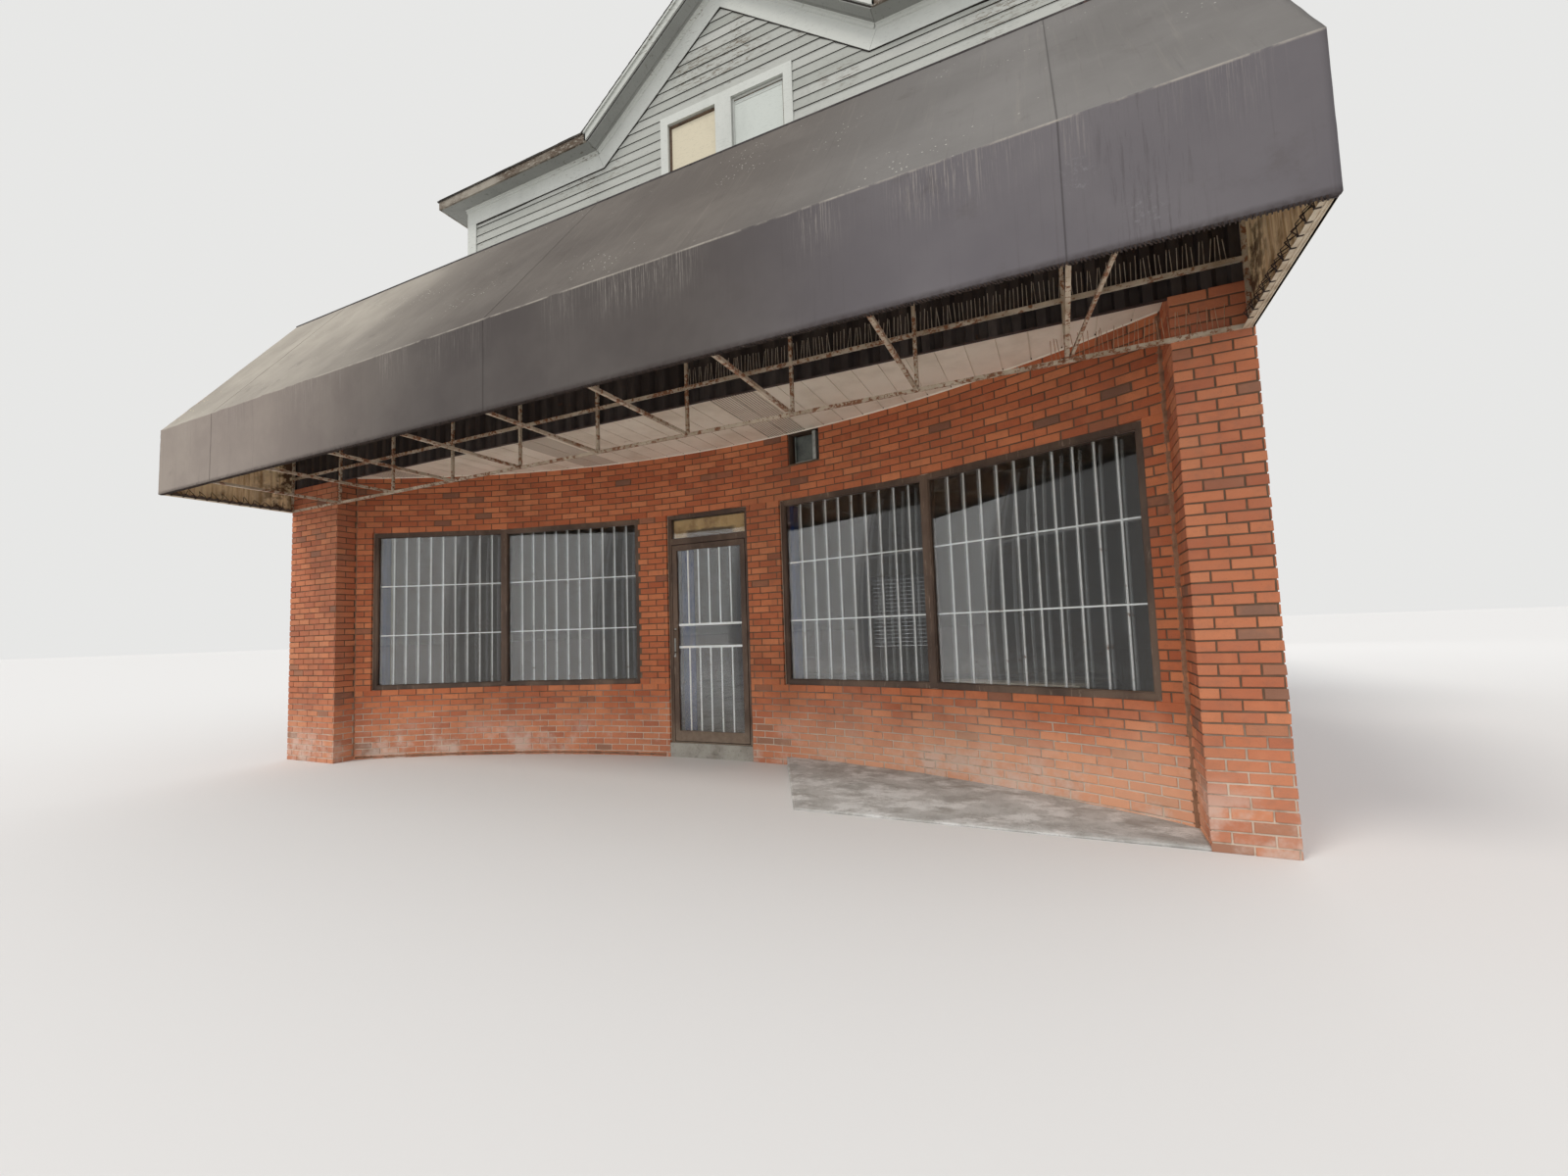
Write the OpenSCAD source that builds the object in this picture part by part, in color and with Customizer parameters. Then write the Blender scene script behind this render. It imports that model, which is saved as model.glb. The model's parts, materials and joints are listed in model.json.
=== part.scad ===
// Corner shop building: a brick shopfront bowed back between two street piers,
// a long fabric awning on a tube frame, and an old timber house behind and above.
// Sizes are in millimetres. X runs along the street to the right, Y runs into the
// plot and Z is up. The origin is on the ground, in the middle of the plot.

/* [Plot] */
// Width of the plot between the party lines
plot_w = 9600; // [8600:50:10200]
// Depth of the plot from the street line to the back wall
plot_d = 11400; // [10600:100:13000]
// Height of the shop threshold above the lowest ground
threshold_z = 150; // [100:10:300]

/* [Shop walls] */
// Thickness of the brick walls
brick_t = 200; // [150:10:260]
// Width of the left street pier
left_pier_w = 900; // [800:10:950]
// Width of the right street pier
right_pier_w = 400; // [320:10:440]
// Depth of the street piers
pier_d = 600; // [580:10:800]
// Radius of the bowed wall's street face
bow_r = 8120; // [8080:10:8250]
// Depth of the bow at its deepest point behind the street line
bow_depth = 1410; // [1380:10:1500]
// Distance of the bow's deepest point to the right of the plot's middle
bow_x = 345; // [300:5:400]

/* [Shop heights] */
// Height of the window sills above the threshold
sill_h = 637; // [500:1:800]
// Height of the window and door heads above the threshold
head_h = 2508; // [2450:1:2600]
// Height of the recess ceiling above the threshold
ceiling_h = 3185; // [3120:5:3300]
// Thickness of the recess ceiling panels
ceiling_t = 20; // [12:1:40]
// How far the metal fascia hangs below the ceiling
fascia_drop = 80; // [0:10:120]
// Height of the shop roof slab's underside above the ground
slab_z = 5000; // [4900:10:5200]
// Thickness of the roof slab and upper floor
slab_t = 200; // [150:10:300]
// Height of the parapet above the roof slab
parapet_h = 110; // [110:10:350]

/* [Shopfront] */
// Distance along the bow from its deepest point to the middle of the door, to the left
door_shift = 114; // [60:1:160]
// Width of the door frame
door_frame_w = 1015; // [980:5:1060]
// Brickwork between the left window and the door
left_gap = 362; // [300:1:420]
// Brickwork between the door and the right window
right_gap = 390; // [330:1:450]
// Brickwork between the left pier and the left window
left_end_w = 184; // [100:1:300]
// Brickwork between the right window and the right pier
right_end_w = 162; // [100:1:300]
// Width of the narrow pane of each window, over its frame; the wide pane takes the rest
narrow_pane = 1560; // [1400:5:1700]
// Width of the back window over its frame
back_window_w = 1740; // [1500:10:2000]
// How far the window and door frames stand behind the brick arris
frame_set = 30; // [10:1:60]
// Clearance of frames, awning parts and roof trims in their seats
seat_gap = 0.3; // [0.2:0.1:0.5]
// Joint between the bow and the floor and ceiling that end at it
bow_joint = 2; // [1:0.5:5]
// Depth of the window and door frames
frame_d = 100; // [80:1:130]
// Face width of the window frames
frame_w = 50; // [40:1:70]
// Face width of the window mullions
mullion_w = 70; // [60:1:100]
// Thickness of the shop glass
glass_t = 6; // [4:1:12]
// Distance from the face of a window frame back to its glass
glass_set = 22; // [10:1:30]
// Thickness of the security grille bars
bar_t = 12; // [8:1:16]
// Number of upright grille bars in a narrow pane
narrow_bars = 9; // [6:1:12]
// Number of upright grille bars in a wide pane
wide_bars = 10; // [6:1:12]

/* [Door] */
// Face width of the door frame's jambs and head
jamb_w = 45; // [40:1:60]
// Height of the transom bar's underside above the threshold
transom_h = 2175; // [2100:5:2200]
// Height of the transom bar
transom_bar = 67; // [50:1:80]
// Gap between the door and its frame
door_gap = 8; // [7:1:12]
// Thickness of the door leaf
leaf_t = 45; // [40:1:50]
// Width of the door's stiles
stile_w = 58; // [50:1:80]
// Height of the door's top rail
top_rail = 62; // [50:1:90]
// Height of the door's bottom rail
bottom_rail = 110; // [90:1:200]
// Height of the metal sill under the door
sill_plate = 12; // [8:1:20]
// Width of the door stop
stop_w = 14; // [10:1:20]
// Radius of the hinge knuckles
knuckle_r = 8; // [6:0.5:10]
// Length of one hinge knuckle
knuckle_h = 32; // [20:1:40]
// Radius of the hinge pins
pin_r = 3.5; // [3:0.5:4]
// Radial clearance of the hinge pins
pin_gap = 0.3; // [0.2:0.1:0.5]

/* [Awning] */
// Reach of the awning in front of the street line
awning_d = 1227; // [1000:1:1500]
// Height of the awning's lower tubes above the ground
awning_z = 2970; // [2880:10:3080]
// Height of the awning's upright front
valance_h = 680; // [500:10:800]
// Height of the awning's top edge at the wall above the ground
awning_top = 5335; // [5200:5:5340]
// Number of bays of the awning frame
bays = 10; // [6:1:12]
// Side of the square awning tubes
tube = 25; // [20:1:30]
// Thickness of the awning fabric
fabric_t = 3; // [2:0.5:5]
// Height of the middle wall tube above the lower one
mid_tube_h = 400; // [300:5:500]
// Pitch of the ribs of the metal fascia
rib_pitch = 150; // [120:10:200]
// Depth of the ribs of the metal fascia
rib_d = 40; // [30:1:50]
// Thickness of the metal fascia and of the flashings
sheet_t = 3; // [2:0.5:4]

/* [House] */
// Set back of the house front behind the street line
house_set = 2130; // [2000:10:2300]
// Space between the left party line and the house wall
left_space = 400; // [380:10:600]
// Space between the right party line and the house wall
right_space = 350; // [350:10:600]
// Thickness of the timber walls
timber_t = 150; // [100:10:200]
// Height of the eaves soffit above the ground
eaves_z = 8070; // [7950:10:8200]
// Thickness of the roof at its edge
roof_t = 140; // [110:5:180]
// Reach of the front and back eaves
front_eave = 240; // [200:5:300]
// Reach of the side eaves
side_eave = 350; // [300:5:350]
// Pitch of the main roof in degrees
roof_pitch = 32; // [28:1:38]
// Pitch of the front gable in degrees
gable_pitch = 37.6; // [34:0.1:40]
// Width of the front gable at the roof's edge
gable_w = 4078; // [3700:2:4300]
// Distance of the front gable to the right of the plot's middle
gable_x = 200; // [100:5:300]
// Thickness of the trim boards
trim_t = 25; // [18:1:32]
// Width of the corner boards
corner_w = 160; // [120:5:200]
// Width of the frieze board
frieze_w = 260; // [200:5:280]
// Width of an upper window opening
sash_w = 720; // [600:10:760]
// Height of an upper window opening
sash_h = 1400; // [1200:10:1500]
// Height of the upper window heads above the ground
sash_head = 8010; // [7950:10:8050]
// Width of the window casings
casing_w = 115; // [90:5:130]
// Thickness of the boards that close the upper windows
board_t = 20; // [12:1:30]

/* [Hidden] */

// Colours as seen
brick_red = [0.66, 0.30, 0.19];
common_brick = [0.55, 0.36, 0.28];
bronze = [0.22, 0.17, 0.14];
white_paint = [0.86, 0.86, 0.84];
concrete = [0.62, 0.60, 0.57];
taupe = [0.38, 0.35, 0.34];
dark_brown = [0.14, 0.11, 0.10];
beige = [0.74, 0.69, 0.61];
siding = [0.76, 0.77, 0.76];
shingle = [0.30, 0.28, 0.27];
clear_glass = [0.55, 0.62, 0.66, 0.4];

// Smoothness of the bow
bow_fn = 360;
// Smoothness of the small round pieces
round_fn = 32;
// Overlap of a cutting shape past the face it cuts
cut = 50;

// Heights above the ground
sill_z = threshold_z + sill_h;
head_z = threshold_z + head_h;
ceiling_z = threshold_z + ceiling_h;
fascia_z = ceiling_z - fascia_drop;
beam_z = ceiling_z + ceiling_t;
wall_top = slab_z - seat_gap;
slab_top = slab_z + slab_t;
parapet_z = slab_top + parapet_h;
crease_z = awning_z + valance_h;
edge_z = eaves_z + roof_t;
gable_z = edge_z + gable_w / 2 * tan(gable_pitch);

// Places in plan, with Y from the street line
half_w = plot_w / 2;
left_pier_x = -half_w + left_pier_w;
right_pier_x = half_w - right_pier_w;
bow_y = bow_depth - bow_r;
beam_back = rib_d + brick_t;
shop_back = plot_d - brick_t;
house_x0 = -half_w + left_space;
house_x1 = half_w - right_space;
eave_x0 = house_x0 - side_eave;
eave_x1 = house_x1 + side_eave;
eave_y0 = house_set - front_eave;
eave_y1 = plot_d + front_eave;

// Stations along the bow's street face, measured from its deepest point
function deg_of(s) = s / bow_r * 180 / PI;
function arc_s(x) = bow_r * asin((x - bow_x) / bow_r) * PI / 180;
door_s0 = -door_shift - door_frame_w / 2;
door_s1 = door_s0 + door_frame_w;
left_s0 = arc_s(left_pier_x) + left_end_w;
left_s1 = left_s0 + narrow_pane;
left_s2 = door_s0 - left_gap;
right_s0 = door_s1 + right_gap;
right_s1 = right_s0 + narrow_pane;
right_s2 = arc_s(right_pier_x) - right_end_w;

// Vent in the wall over the right window
vent_shift = 130;
vent_s0 = right_s0 + vent_shift;
vent_w = 365;
vent_h = 330;
vent_t = 8;

// Drop of the apron below the threshold at the wall, and its fall to the street
apron_drop = 70;
apron_fall = 60;
apron_wall_z = threshold_z - apron_drop;
apron_street_z = apron_wall_z - apron_fall;
// The apron's left edge, at the wall and at the street, to the right of the bow's deepest point
apron_in = 760;
apron_out = 1455;
apron_lap = 5;

function on_arc(s, r) = [bow_x + r * sin(deg_of(s)), bow_y + r * cos(deg_of(s))];

// Moves a shape from the street line to the plot's middle
module on_plot() {
  translate([0, -plot_d / 2, 0]) children();
}

// A box between two corners
module block(low, high) {
  translate(low) cube(high - low);
}

// A stretch of the bowed wall between two stations and two heights
module bow_wall(s0, s1, z0, z1) {
  translate([bow_x, bow_y, z0])
    rotate([0, 0, 90 - deg_of(s1)])
      rotate_extrude(angle = deg_of(s1 - s0), $fn = bow_fn)
        translate([bow_r, 0]) square([brick_t, z1 - z0]);
}

// Brickwork that fills the bow between two neighbours, with a joint at each end
module bow_infill(s0, s1, z0, z1) {
  bow_wall(s0 + seat_gap, s1 - seat_gap, z0, z1);
}

// Puts a flat unit on the chord between two stations: X along it, Y into the plot
module on_chord(s0, s1) {
  a = on_arc(s0, bow_r + frame_set);
  b = on_arc(s1, bow_r + frame_set);
  translate([a.x, a.y, 0]) rotate([0, 0, atan2(b.y - a.y, b.x - a.x)]) children();
}

function chord(s0, s1) = norm(on_arc(s1, bow_r + frame_set) - on_arc(s0, bow_r + frame_set));

// A strip of flat lengths through the stations, as deep as the frames
module strip(stations, z0, z1) {
  face = [for (s = stations) on_arc(s, bow_r + frame_set)];
  back = [for (i = [len(stations) - 1:-1:0])
    on_arc(stations[i], bow_r + frame_set + frame_d)];
  translate([0, 0, z0]) linear_extrude(z1 - z0) polygon(concat(face, back));
}

// The clear pane between two stations, from one depth behind the face to another
module pane(s0, s1, side0, side1, y0, y1) {
  on_chord(s0, s1)
    block([side0, y0, sill_z + frame_w], [chord(s0, s1) - side1, y1, head_z - frame_w]);
}

module window_frame(s0, s1, s2) {
  difference() {
    strip([s0 + seat_gap, s1, s2 - seat_gap], sill_z + seat_gap, head_z - seat_gap);
    pane(s0, s1, frame_w, mullion_w / 2, -cut, frame_d + cut);
    pane(s1, s2, mullion_w / 2, frame_w, -cut, frame_d + cut);
  }
}

module two_panes(s0, s1, s2) {
  pane(s0, s1, frame_w, mullion_w / 2, glass_set, glass_set + glass_t);
  pane(s1, s2, mullion_w / 2, frame_w, glass_set, glass_set + glass_t);
}

// A flat grille of upright bars and two rails that fills a pane
module grille(s0, s1, side0, side1, bars) {
  w = chord(s0, s1) - side0 - side1;
  z0 = sill_z + frame_w;
  h = head_z - frame_w - z0;
  y = frame_d - 2 * bar_t;
  on_chord(s0, s1) translate([side0, y, z0]) {
    for (i = [1:bars])
      translate([w * i / (bars + 1) - bar_t / 2, 0, 0]) cube([bar_t, bar_t, h]);
    for (k = [1, 2])
      translate([0, 0, h * k / 3 - bar_t / 2]) cube([w, bar_t, bar_t]);
  }
}

// Street piers, with the brickwork that backs the fascia and the beam above them
module pier(x0, x1) {
  block([x0, 0, 0], [x1, pier_d, fascia_z]);
  block([x0, rib_d, fascia_z], [x1, pier_d, beam_z]);
  block([x0, beam_back, beam_z], [x1, pier_d, slab_z]);
}

module street_piers() on_plot() color(brick_red) {
  pier(-half_w, left_pier_x);
  pier(right_pier_x, half_w);
}

// An end of the bowed wall, between the piers and behind the street beam
module bow_end(s0, s1) {
  difference() {
    intersection() {
      bow_wall(s0, s1, 0, wall_top);
      block([left_pier_x, 0, -cut], [right_pier_x, plot_d, slab_z]);
    }
    block([-half_w, -cut, beam_z], [half_w, beam_back, slab_z]);
  }
}

// The bowed wall, split beside, under and over its openings
module walls_beside_openings() on_plot() color(brick_red) {
  bow_end(arc_s(left_pier_x) - 2 * brick_t, left_s0);
  bow_wall(left_s2, door_s0, 0, wall_top);
  bow_wall(door_s1, right_s0, 0, wall_top);
  bow_end(right_s2, arc_s(right_pier_x) + 2 * brick_t);
}

module walls_under_windows() on_plot() color(brick_red) {
  bow_infill(left_s0, left_s2, 0, sill_z);
  bow_infill(right_s0, right_s2, 0, sill_z);
}

module walls_over_openings() on_plot() color(brick_red) {
  bow_infill(left_s0, left_s2, head_z, wall_top);
  bow_infill(door_s0, door_s1, head_z, wall_top);
  difference() {
    bow_infill(right_s0, right_s2, head_z, wall_top);
    vent_box(0, -frame_set - cut, brick_t + cut);
  }
}

// A box on the vent's axis, smaller than the vent by a rim, between two depths
module vent_box(rim, y0, y1) {
  on_chord(vent_s0, vent_s0 + vent_w)
    block([rim, y0, ceiling_z - vent_h + rim],
      [chord(vent_s0, vent_s0 + vent_w) - rim, y1, ceiling_z - rim]);
}

module wall_vent() on_plot() color(bronze) difference() {
  vent_box(0, -frame_set / 2, brick_t - frame_set);
  vent_box(vent_t, -frame_set - cut, brick_t / 2);
}

module door_step() on_plot() color(concrete) bow_infill(door_s0, door_s1, 0, threshold_z);

// Rough concrete between the bow and the street line, falling to the street
module concrete_apron() on_plot() color(concrete) intersection() {
  linear_extrude(apron_wall_z) difference() {
    polygon([[bow_x + apron_out, 0], [right_pier_x, 0], [right_pier_x, bow_depth],
      [bow_x + apron_in, bow_depth]]);
    translate([bow_x, bow_y]) difference() {
      circle(bow_r + bow_depth, $fn = bow_fn);
      circle(bow_r - apron_lap, $fn = bow_fn);
    }
  }
  rotate([90, 0, 90]) linear_extrude(half_w)
    polygon([[0, 0], [bow_depth, 0], [bow_depth, apron_wall_z], [0, apron_street_z]]);
}

module window_frames() on_plot() color(bronze) {
  window_frame(left_s0, left_s1, left_s2);
  window_frame(right_s0, right_s1, right_s2);
  difference() {
    back_pane(frame_w, plot_d - frame_d, plot_d);
    back_pane(0, shop_back, plot_d + cut);
  }
}

module window_glass() on_plot() color(clear_glass) {
  two_panes(left_s0, left_s1, left_s2);
  two_panes(right_s0, right_s1, right_s2);
  back_pane(0, back_glass_y, back_glass_y + glass_t);
  on_chord(door_s0, door_s1) block([jamb_w, glass_set, transom_z],
    [door_l - jamb_w, glass_set + glass_t, head_z - jamb_w]);
}

module window_grilles() on_plot() color(white_paint) {
  grille(left_s0, left_s1, frame_w, mullion_w / 2, narrow_bars);
  grille(left_s1, left_s2, mullion_w / 2, frame_w, wide_bars);
  grille(right_s0, right_s1, frame_w, mullion_w / 2, narrow_bars);
  grille(right_s1, right_s2, mullion_w / 2, frame_w, wide_bars);
}

// The door unit lies on the chord between the door stations
door_l = chord(door_s0, door_s1);
leaf_x0 = jamb_w + door_gap;
leaf_x1 = door_l - jamb_w - door_gap;
leaf_z0 = threshold_z + sill_plate + door_gap;
leaf_z1 = threshold_z + transom_h - door_gap;
stop_gap = 6;
stop_y = leaf_t + stop_gap;
transom_z = threshold_z + transom_h + transom_bar;
hinge_x = door_l - jamb_w - door_gap / 2;
hinge_y = -knuckle_r;
hinge_plate = 30;
hinge_end = 180;
hinge_places = [leaf_z0 + hinge_end, (leaf_z0 + leaf_z1) / 2, leaf_z1 - hinge_end - 3 * knuckle_h];
door_glass_y = 12;
door_bars = 5;
// Heights of the two door grille rails above the threshold
door_rails = [1036, 1280];

// One hinge: its knuckles on the frame, or the middle one on the leaf
module frame_knuckles(z) {
  for (k = [0, 2]) translate([hinge_x, hinge_y, z + k * knuckle_h]) {
    cylinder(h = knuckle_h, r = knuckle_r, $fn = round_fn);
    block([0, knuckle_r - sheet_t, 0], [hinge_plate, knuckle_r, knuckle_h]);
  }
  translate([hinge_x, hinge_y, z]) cylinder(h = 3 * knuckle_h, r = pin_r, $fn = round_fn);
}

module leaf_knuckle(z) {
  translate([hinge_x, hinge_y, z + knuckle_h + pin_gap]) difference() {
    union() {
      cylinder(h = knuckle_h - 2 * pin_gap, r = knuckle_r, $fn = round_fn);
      block([-hinge_plate, knuckle_r - sheet_t, 0], [0, knuckle_r, knuckle_h - 2 * pin_gap]);
    }
    translate([0, 0, -cut])
      cylinder(h = knuckle_h + 2 * cut, r = pin_r + pin_gap, $fn = round_fn);
  }
}

module door_frame() on_plot() color(bronze) {
  difference() {
    strip([door_s0 + seat_gap, door_s1 - seat_gap], threshold_z + seat_gap, head_z - seat_gap);
    on_chord(door_s0, door_s1) {
      block([jamb_w, -cut, threshold_z + sill_plate],
        [door_l - jamb_w, stop_y, threshold_z + transom_h]);
      block([jamb_w + stop_w, stop_y - cut, threshold_z + sill_plate],
        [door_l - jamb_w - stop_w, frame_d + cut, threshold_z + transom_h - stop_w]);
      block([jamb_w, -cut, transom_z], [door_l - jamb_w, frame_d + cut, head_z - jamb_w]);
    }
  }
  on_chord(door_s0, door_s1) for (z = hinge_places) frame_knuckles(z);
}

module door_leaf() on_plot() color(bronze) on_chord(door_s0, door_s1) {
  difference() {
    block([leaf_x0, 0, leaf_z0], [leaf_x1, leaf_t, leaf_z1]);
    block([leaf_x0 + stile_w, -cut, leaf_z0 + bottom_rail],
      [leaf_x1 - stile_w, leaf_t + cut, leaf_z1 - top_rail]);
  }
  for (z = hinge_places) leaf_knuckle(z);
}

module door_glass() on_plot() color(clear_glass) on_chord(door_s0, door_s1)
  block([leaf_x0 + stile_w, door_glass_y, leaf_z0 + bottom_rail],
    [leaf_x1 - stile_w, door_glass_y + glass_t, leaf_z1 - top_rail]);

// Upright bars stand under the lower rail and over the upper one
module door_grille() on_plot() color(white_paint) on_chord(door_s0, door_s1) {
  w = leaf_x1 - leaf_x0 - 2 * stile_w;
  rail_z = [for (r = door_rails) threshold_z + r];
  spans = [[leaf_z0 + bottom_rail, rail_z[0]], [rail_z[1], leaf_z1 - top_rail]];
  translate([leaf_x0 + stile_w, leaf_t - 2 * bar_t, 0]) {
    for (span = spans, i = [1:door_bars])
      translate([w * i / (door_bars + 1) - bar_t / 2, 0, span[0]])
        cube([bar_t, bar_t, span[1] - span[0]]);
    for (z = rail_z) translate([0, 0, z - bar_t]) cube([w, bar_t, 2 * bar_t]);
  }
}

// Pull handle and lock on the stile away from the hinges
pull_z = threshold_z + 1100;
pull_l = 300;
pull_r = 10;
pull_out = 45;
post_in = 30;
post_r = 7;
lock_up = 210;
lock_r = 16;
lock_out = 8;
module door_pull() on_plot() color(bronze) on_chord(door_s0, door_s1)
  translate([leaf_x0 + stile_w / 2, 0, pull_z]) {
    translate([0, -pull_out, -pull_l / 2]) cylinder(h = pull_l, r = pull_r, $fn = round_fn);
    for (k = [-1, 1]) translate([0, 0, k * (pull_l / 2 - post_in)]) rotate([90, 0, 0])
      cylinder(h = pull_out, r = post_r, $fn = round_fn);
    translate([0, 0, lock_up]) rotate([90, 0, 0]) cylinder(h = lock_out, r = lock_r, $fn = round_fn);
  }

// Panel ceiling of the recess, cut to the bow
module recess_ceiling() on_plot() color(beige) translate([0, 0, ceiling_z])
  linear_extrude(ceiling_t) intersection() {
    translate([left_pier_x, rib_d]) square([right_pier_x - left_pier_x, bow_depth]);
    translate([bow_x, bow_y]) circle(bow_r - bow_joint, $fn = bow_fn);
  }

module street_beam() on_plot() color(common_brick)
  block([-half_w, rib_d, beam_z], [half_w, beam_back, parapet_z]);

// Ribbed metal sheet on the face of the beam
ribs = floor(plot_w / rib_pitch);
rib_w = 54;
rib_slope = 12;
function rib_line(back) = [for (i = [0:ribs - 1]) let (x = -half_w + i * plot_w / ribs)
  each [[x, back], [x + rib_w, back], [x + rib_w + rib_slope, back - rib_d + sheet_t],
    [x + 2 * rib_w + rib_slope, back - rib_d + sheet_t]]];
module metal_fascia() on_plot() color(dark_brown) translate([0, 0, fascia_z])
  linear_extrude(parapet_z - fascia_z) {
    rear = concat(rib_line(rib_d), [[half_w, rib_d]]);
    front = [for (p = rear) p - [0, sheet_t]];
    polygon(concat(front, [for (i = [len(rear) - 1:-1:0]) rear[i]]));
  }

module parapets() on_plot() color(common_brick) {
  block([-half_w, beam_back, slab_top], [-half_w + brick_t, house_set, parapet_z]);
  block([half_w - brick_t, beam_back, slab_top], [half_w, house_set, parapet_z]);
}

// Flashing over the beam and the side parapets
cap_t = 30;
module parapet_cap() on_plot() color(dark_brown) translate([0, 0, parapet_z])
  linear_extrude(cap_t) difference() {
    translate([-half_w, 0]) square([plot_w, house_set]);
    translate([-half_w + brick_t + cap_t, beam_back + cap_t])
      square([plot_w - 2 * (brick_t + cap_t), house_set]);
  }

// Awning frame: every tube is square and lies just inside the fabric
frame_half = half_w - fabric_t;
front_y = -awning_d + fabric_t;
slope_rise = (awning_top - crease_z) / awning_d;
fabric_rise = fabric_t * sqrt(1 + slope_rise * slope_rise);
tube_rise = tube * sqrt(1 + slope_rise * slope_rise);
top_tube_z = under_fabric(-tube) - seat_gap - tube;
crease_tube_z = under_fabric(front_y) - seat_gap - tube;
function bay_x(i) = -frame_half + i * (2 * frame_half - tube) / bays;
// Height of the fabric's underside at a distance from the street line
function under_fabric(y) = awning_top + y * slope_rise - fabric_rise;

module long_tube(y, z) {
  block([-frame_half, y, z], [frame_half, y + tube, z + tube]);
}

module awning_wall_frame() on_plot() color(white_paint) {
  for (z = [awning_z, awning_z + mid_tube_h, top_tube_z]) long_tube(-tube, z);
  for (i = [0:bays])
    block([bay_x(i), -tube, awning_z], [bay_x(i) + tube, 0, top_tube_z + tube]);
}

module awning_arms() on_plot() color(white_paint)
  for (i = [0:bays])
    block([bay_x(i), front_y + tube, awning_z], [bay_x(i) + tube, -tube, awning_z + tube]);

module awning_front_frame() on_plot() color(white_paint) {
  for (z = [awning_z, crease_tube_z]) long_tube(front_y, z);
  for (i = [0:bays])
    block([bay_x(i), front_y, awning_z], [bay_x(i) + tube, front_y + tube, crease_tube_z + tube]);
}

module awning_rafters() on_plot() color(white_paint)
  for (i = [0:bays]) translate([bay_x(i), 0, 0]) rotate([90, 0, 90]) linear_extrude(tube)
    polygon([for (p = [[front_y + tube, 0], [front_y + tube, 1], [-tube, 1], [-tube, 0]])
      [p.x, under_fabric(p.x) - seat_gap - p.y * tube_rise]]);

// Fabric: the slope, the upright front and the two closed ends
module awning_slope() on_plot() color(taupe) translate([-half_w, 0, 0])
  rotate([90, 0, 90]) linear_extrude(plot_w)
    polygon([[-awning_d, crease_z], [0, awning_top], [0, awning_top - fabric_rise],
      [front_y, under_fabric(front_y)]]);

module awning_valance() on_plot() color(taupe) translate([-half_w, 0, 0])
  rotate([90, 0, 90]) linear_extrude(plot_w)
    polygon([[-awning_d, awning_z], [-awning_d, crease_z], [front_y, under_fabric(front_y)],
      [front_y, awning_z]]);

module awning_ends() on_plot() color(taupe)
  for (x = [-half_w, half_w - fabric_t]) translate([x, 0, 0])
    rotate([90, 0, 90]) linear_extrude(fabric_t)
      polygon([[front_y, awning_z], [front_y, under_fabric(front_y)], [0, under_fabric(0)],
        [0, awning_z]]);

// Floors, party walls and back of the shop storey
module shop_floor() on_plot() color(concrete) linear_extrude(threshold_z) difference() {
  translate([-half_w + brick_t, pier_d])
    square([plot_w - 2 * brick_t, shop_back - pier_d]);
  translate([bow_x, bow_y]) circle(bow_r + brick_t + bow_joint, $fn = bow_fn);
}

module shop_roof() on_plot() color(shingle)
  block([-half_w, beam_back, slab_z], [half_w, house_set, slab_top]);

module upper_floor() on_plot() color(shingle)
  block([-half_w, house_set, slab_z], [half_w, plot_d, slab_top]);

module party_walls() on_plot() color(common_brick) {
  block([-half_w, pier_d, 0], [-half_w + brick_t, plot_d, slab_z]);
  block([half_w - brick_t, pier_d, 0], [half_w, plot_d, slab_z]);
}

// The back window, shrunk by a rim, between two depths
back_glass_y = plot_d - glass_set - glass_t;
module back_pane(rim, y0, y1) {
  block([-back_window_w / 2 + frame_w - rim, y0, sill_z + frame_w - rim],
    [back_window_w / 2 - frame_w + rim, y1, head_z - frame_w + rim]);
}

module back_wall() on_plot() color(common_brick) difference() {
  block([-half_w + brick_t, shop_back, 0], [half_w - brick_t, plot_d, slab_z]);
  back_pane(frame_w, shop_back - cut, plot_d + cut);
}

// Roof solids. Each has upright sides up to its edge and slopes above it.
module ridge_profile(a, b, z0, z1, pitch) {
  polygon([[a, z0], [b, z0], [b, z1], [(a + b) / 2, z1 + (b - a) / 2 * tan(pitch)], [a, z1]]);
}

// Everything under the main roof, with its edge at one height
module hip(z0, z1) {
  intersection() {
    translate([0, eave_y1, 0]) rotate([90, 0, 0]) linear_extrude(eave_y1 - eave_y0)
      ridge_profile(eave_x0, eave_x1, z0, z1, roof_pitch);
    translate([eave_x0, 0, 0]) rotate([90, 0, 90]) linear_extrude(eave_x1 - eave_x0)
      ridge_profile(eave_y0, eave_y1, z0, z1, roof_pitch);
  }
}

// Everything under the front gable's roof, between two depths
gable_run = 400;
gable_back = eave_y0 + (gable_z - edge_z) / tan(roof_pitch) + gable_run;
gable_under = gable_z - roof_t / cos(gable_pitch);
module gable(peak, z0, y0, y1) {
  half = (peak - z0) / tan(gable_pitch);
  translate([0, y1, 0]) rotate([90, 0, 0]) linear_extrude(y1 - y0)
    polygon([[gable_x - half, z0], [gable_x + half, z0], [gable_x, peak]]);
}

// The room that the roofs leave below them
module under_roofs() {
  hip(slab_top, eaves_z);
  gable(gable_under, eaves_z - cut, eave_y0 - cut, gable_back);
}

module main_roof() on_plot() color(shingle) difference() {
  hip(eaves_z, edge_z);
  hip(eaves_z - cut, eaves_z);
  gable(gable_under, eaves_z - cut, eave_y0 - cut, gable_back);
}

module gable_roof() on_plot() color(shingle) difference() {
  gable(gable_z, edge_z, eave_y0, gable_back);
  gable(gable_under, eaves_z - cut, eave_y0 - cut, gable_back + cut);
  hip(eaves_z - cut, edge_z);
}

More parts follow.
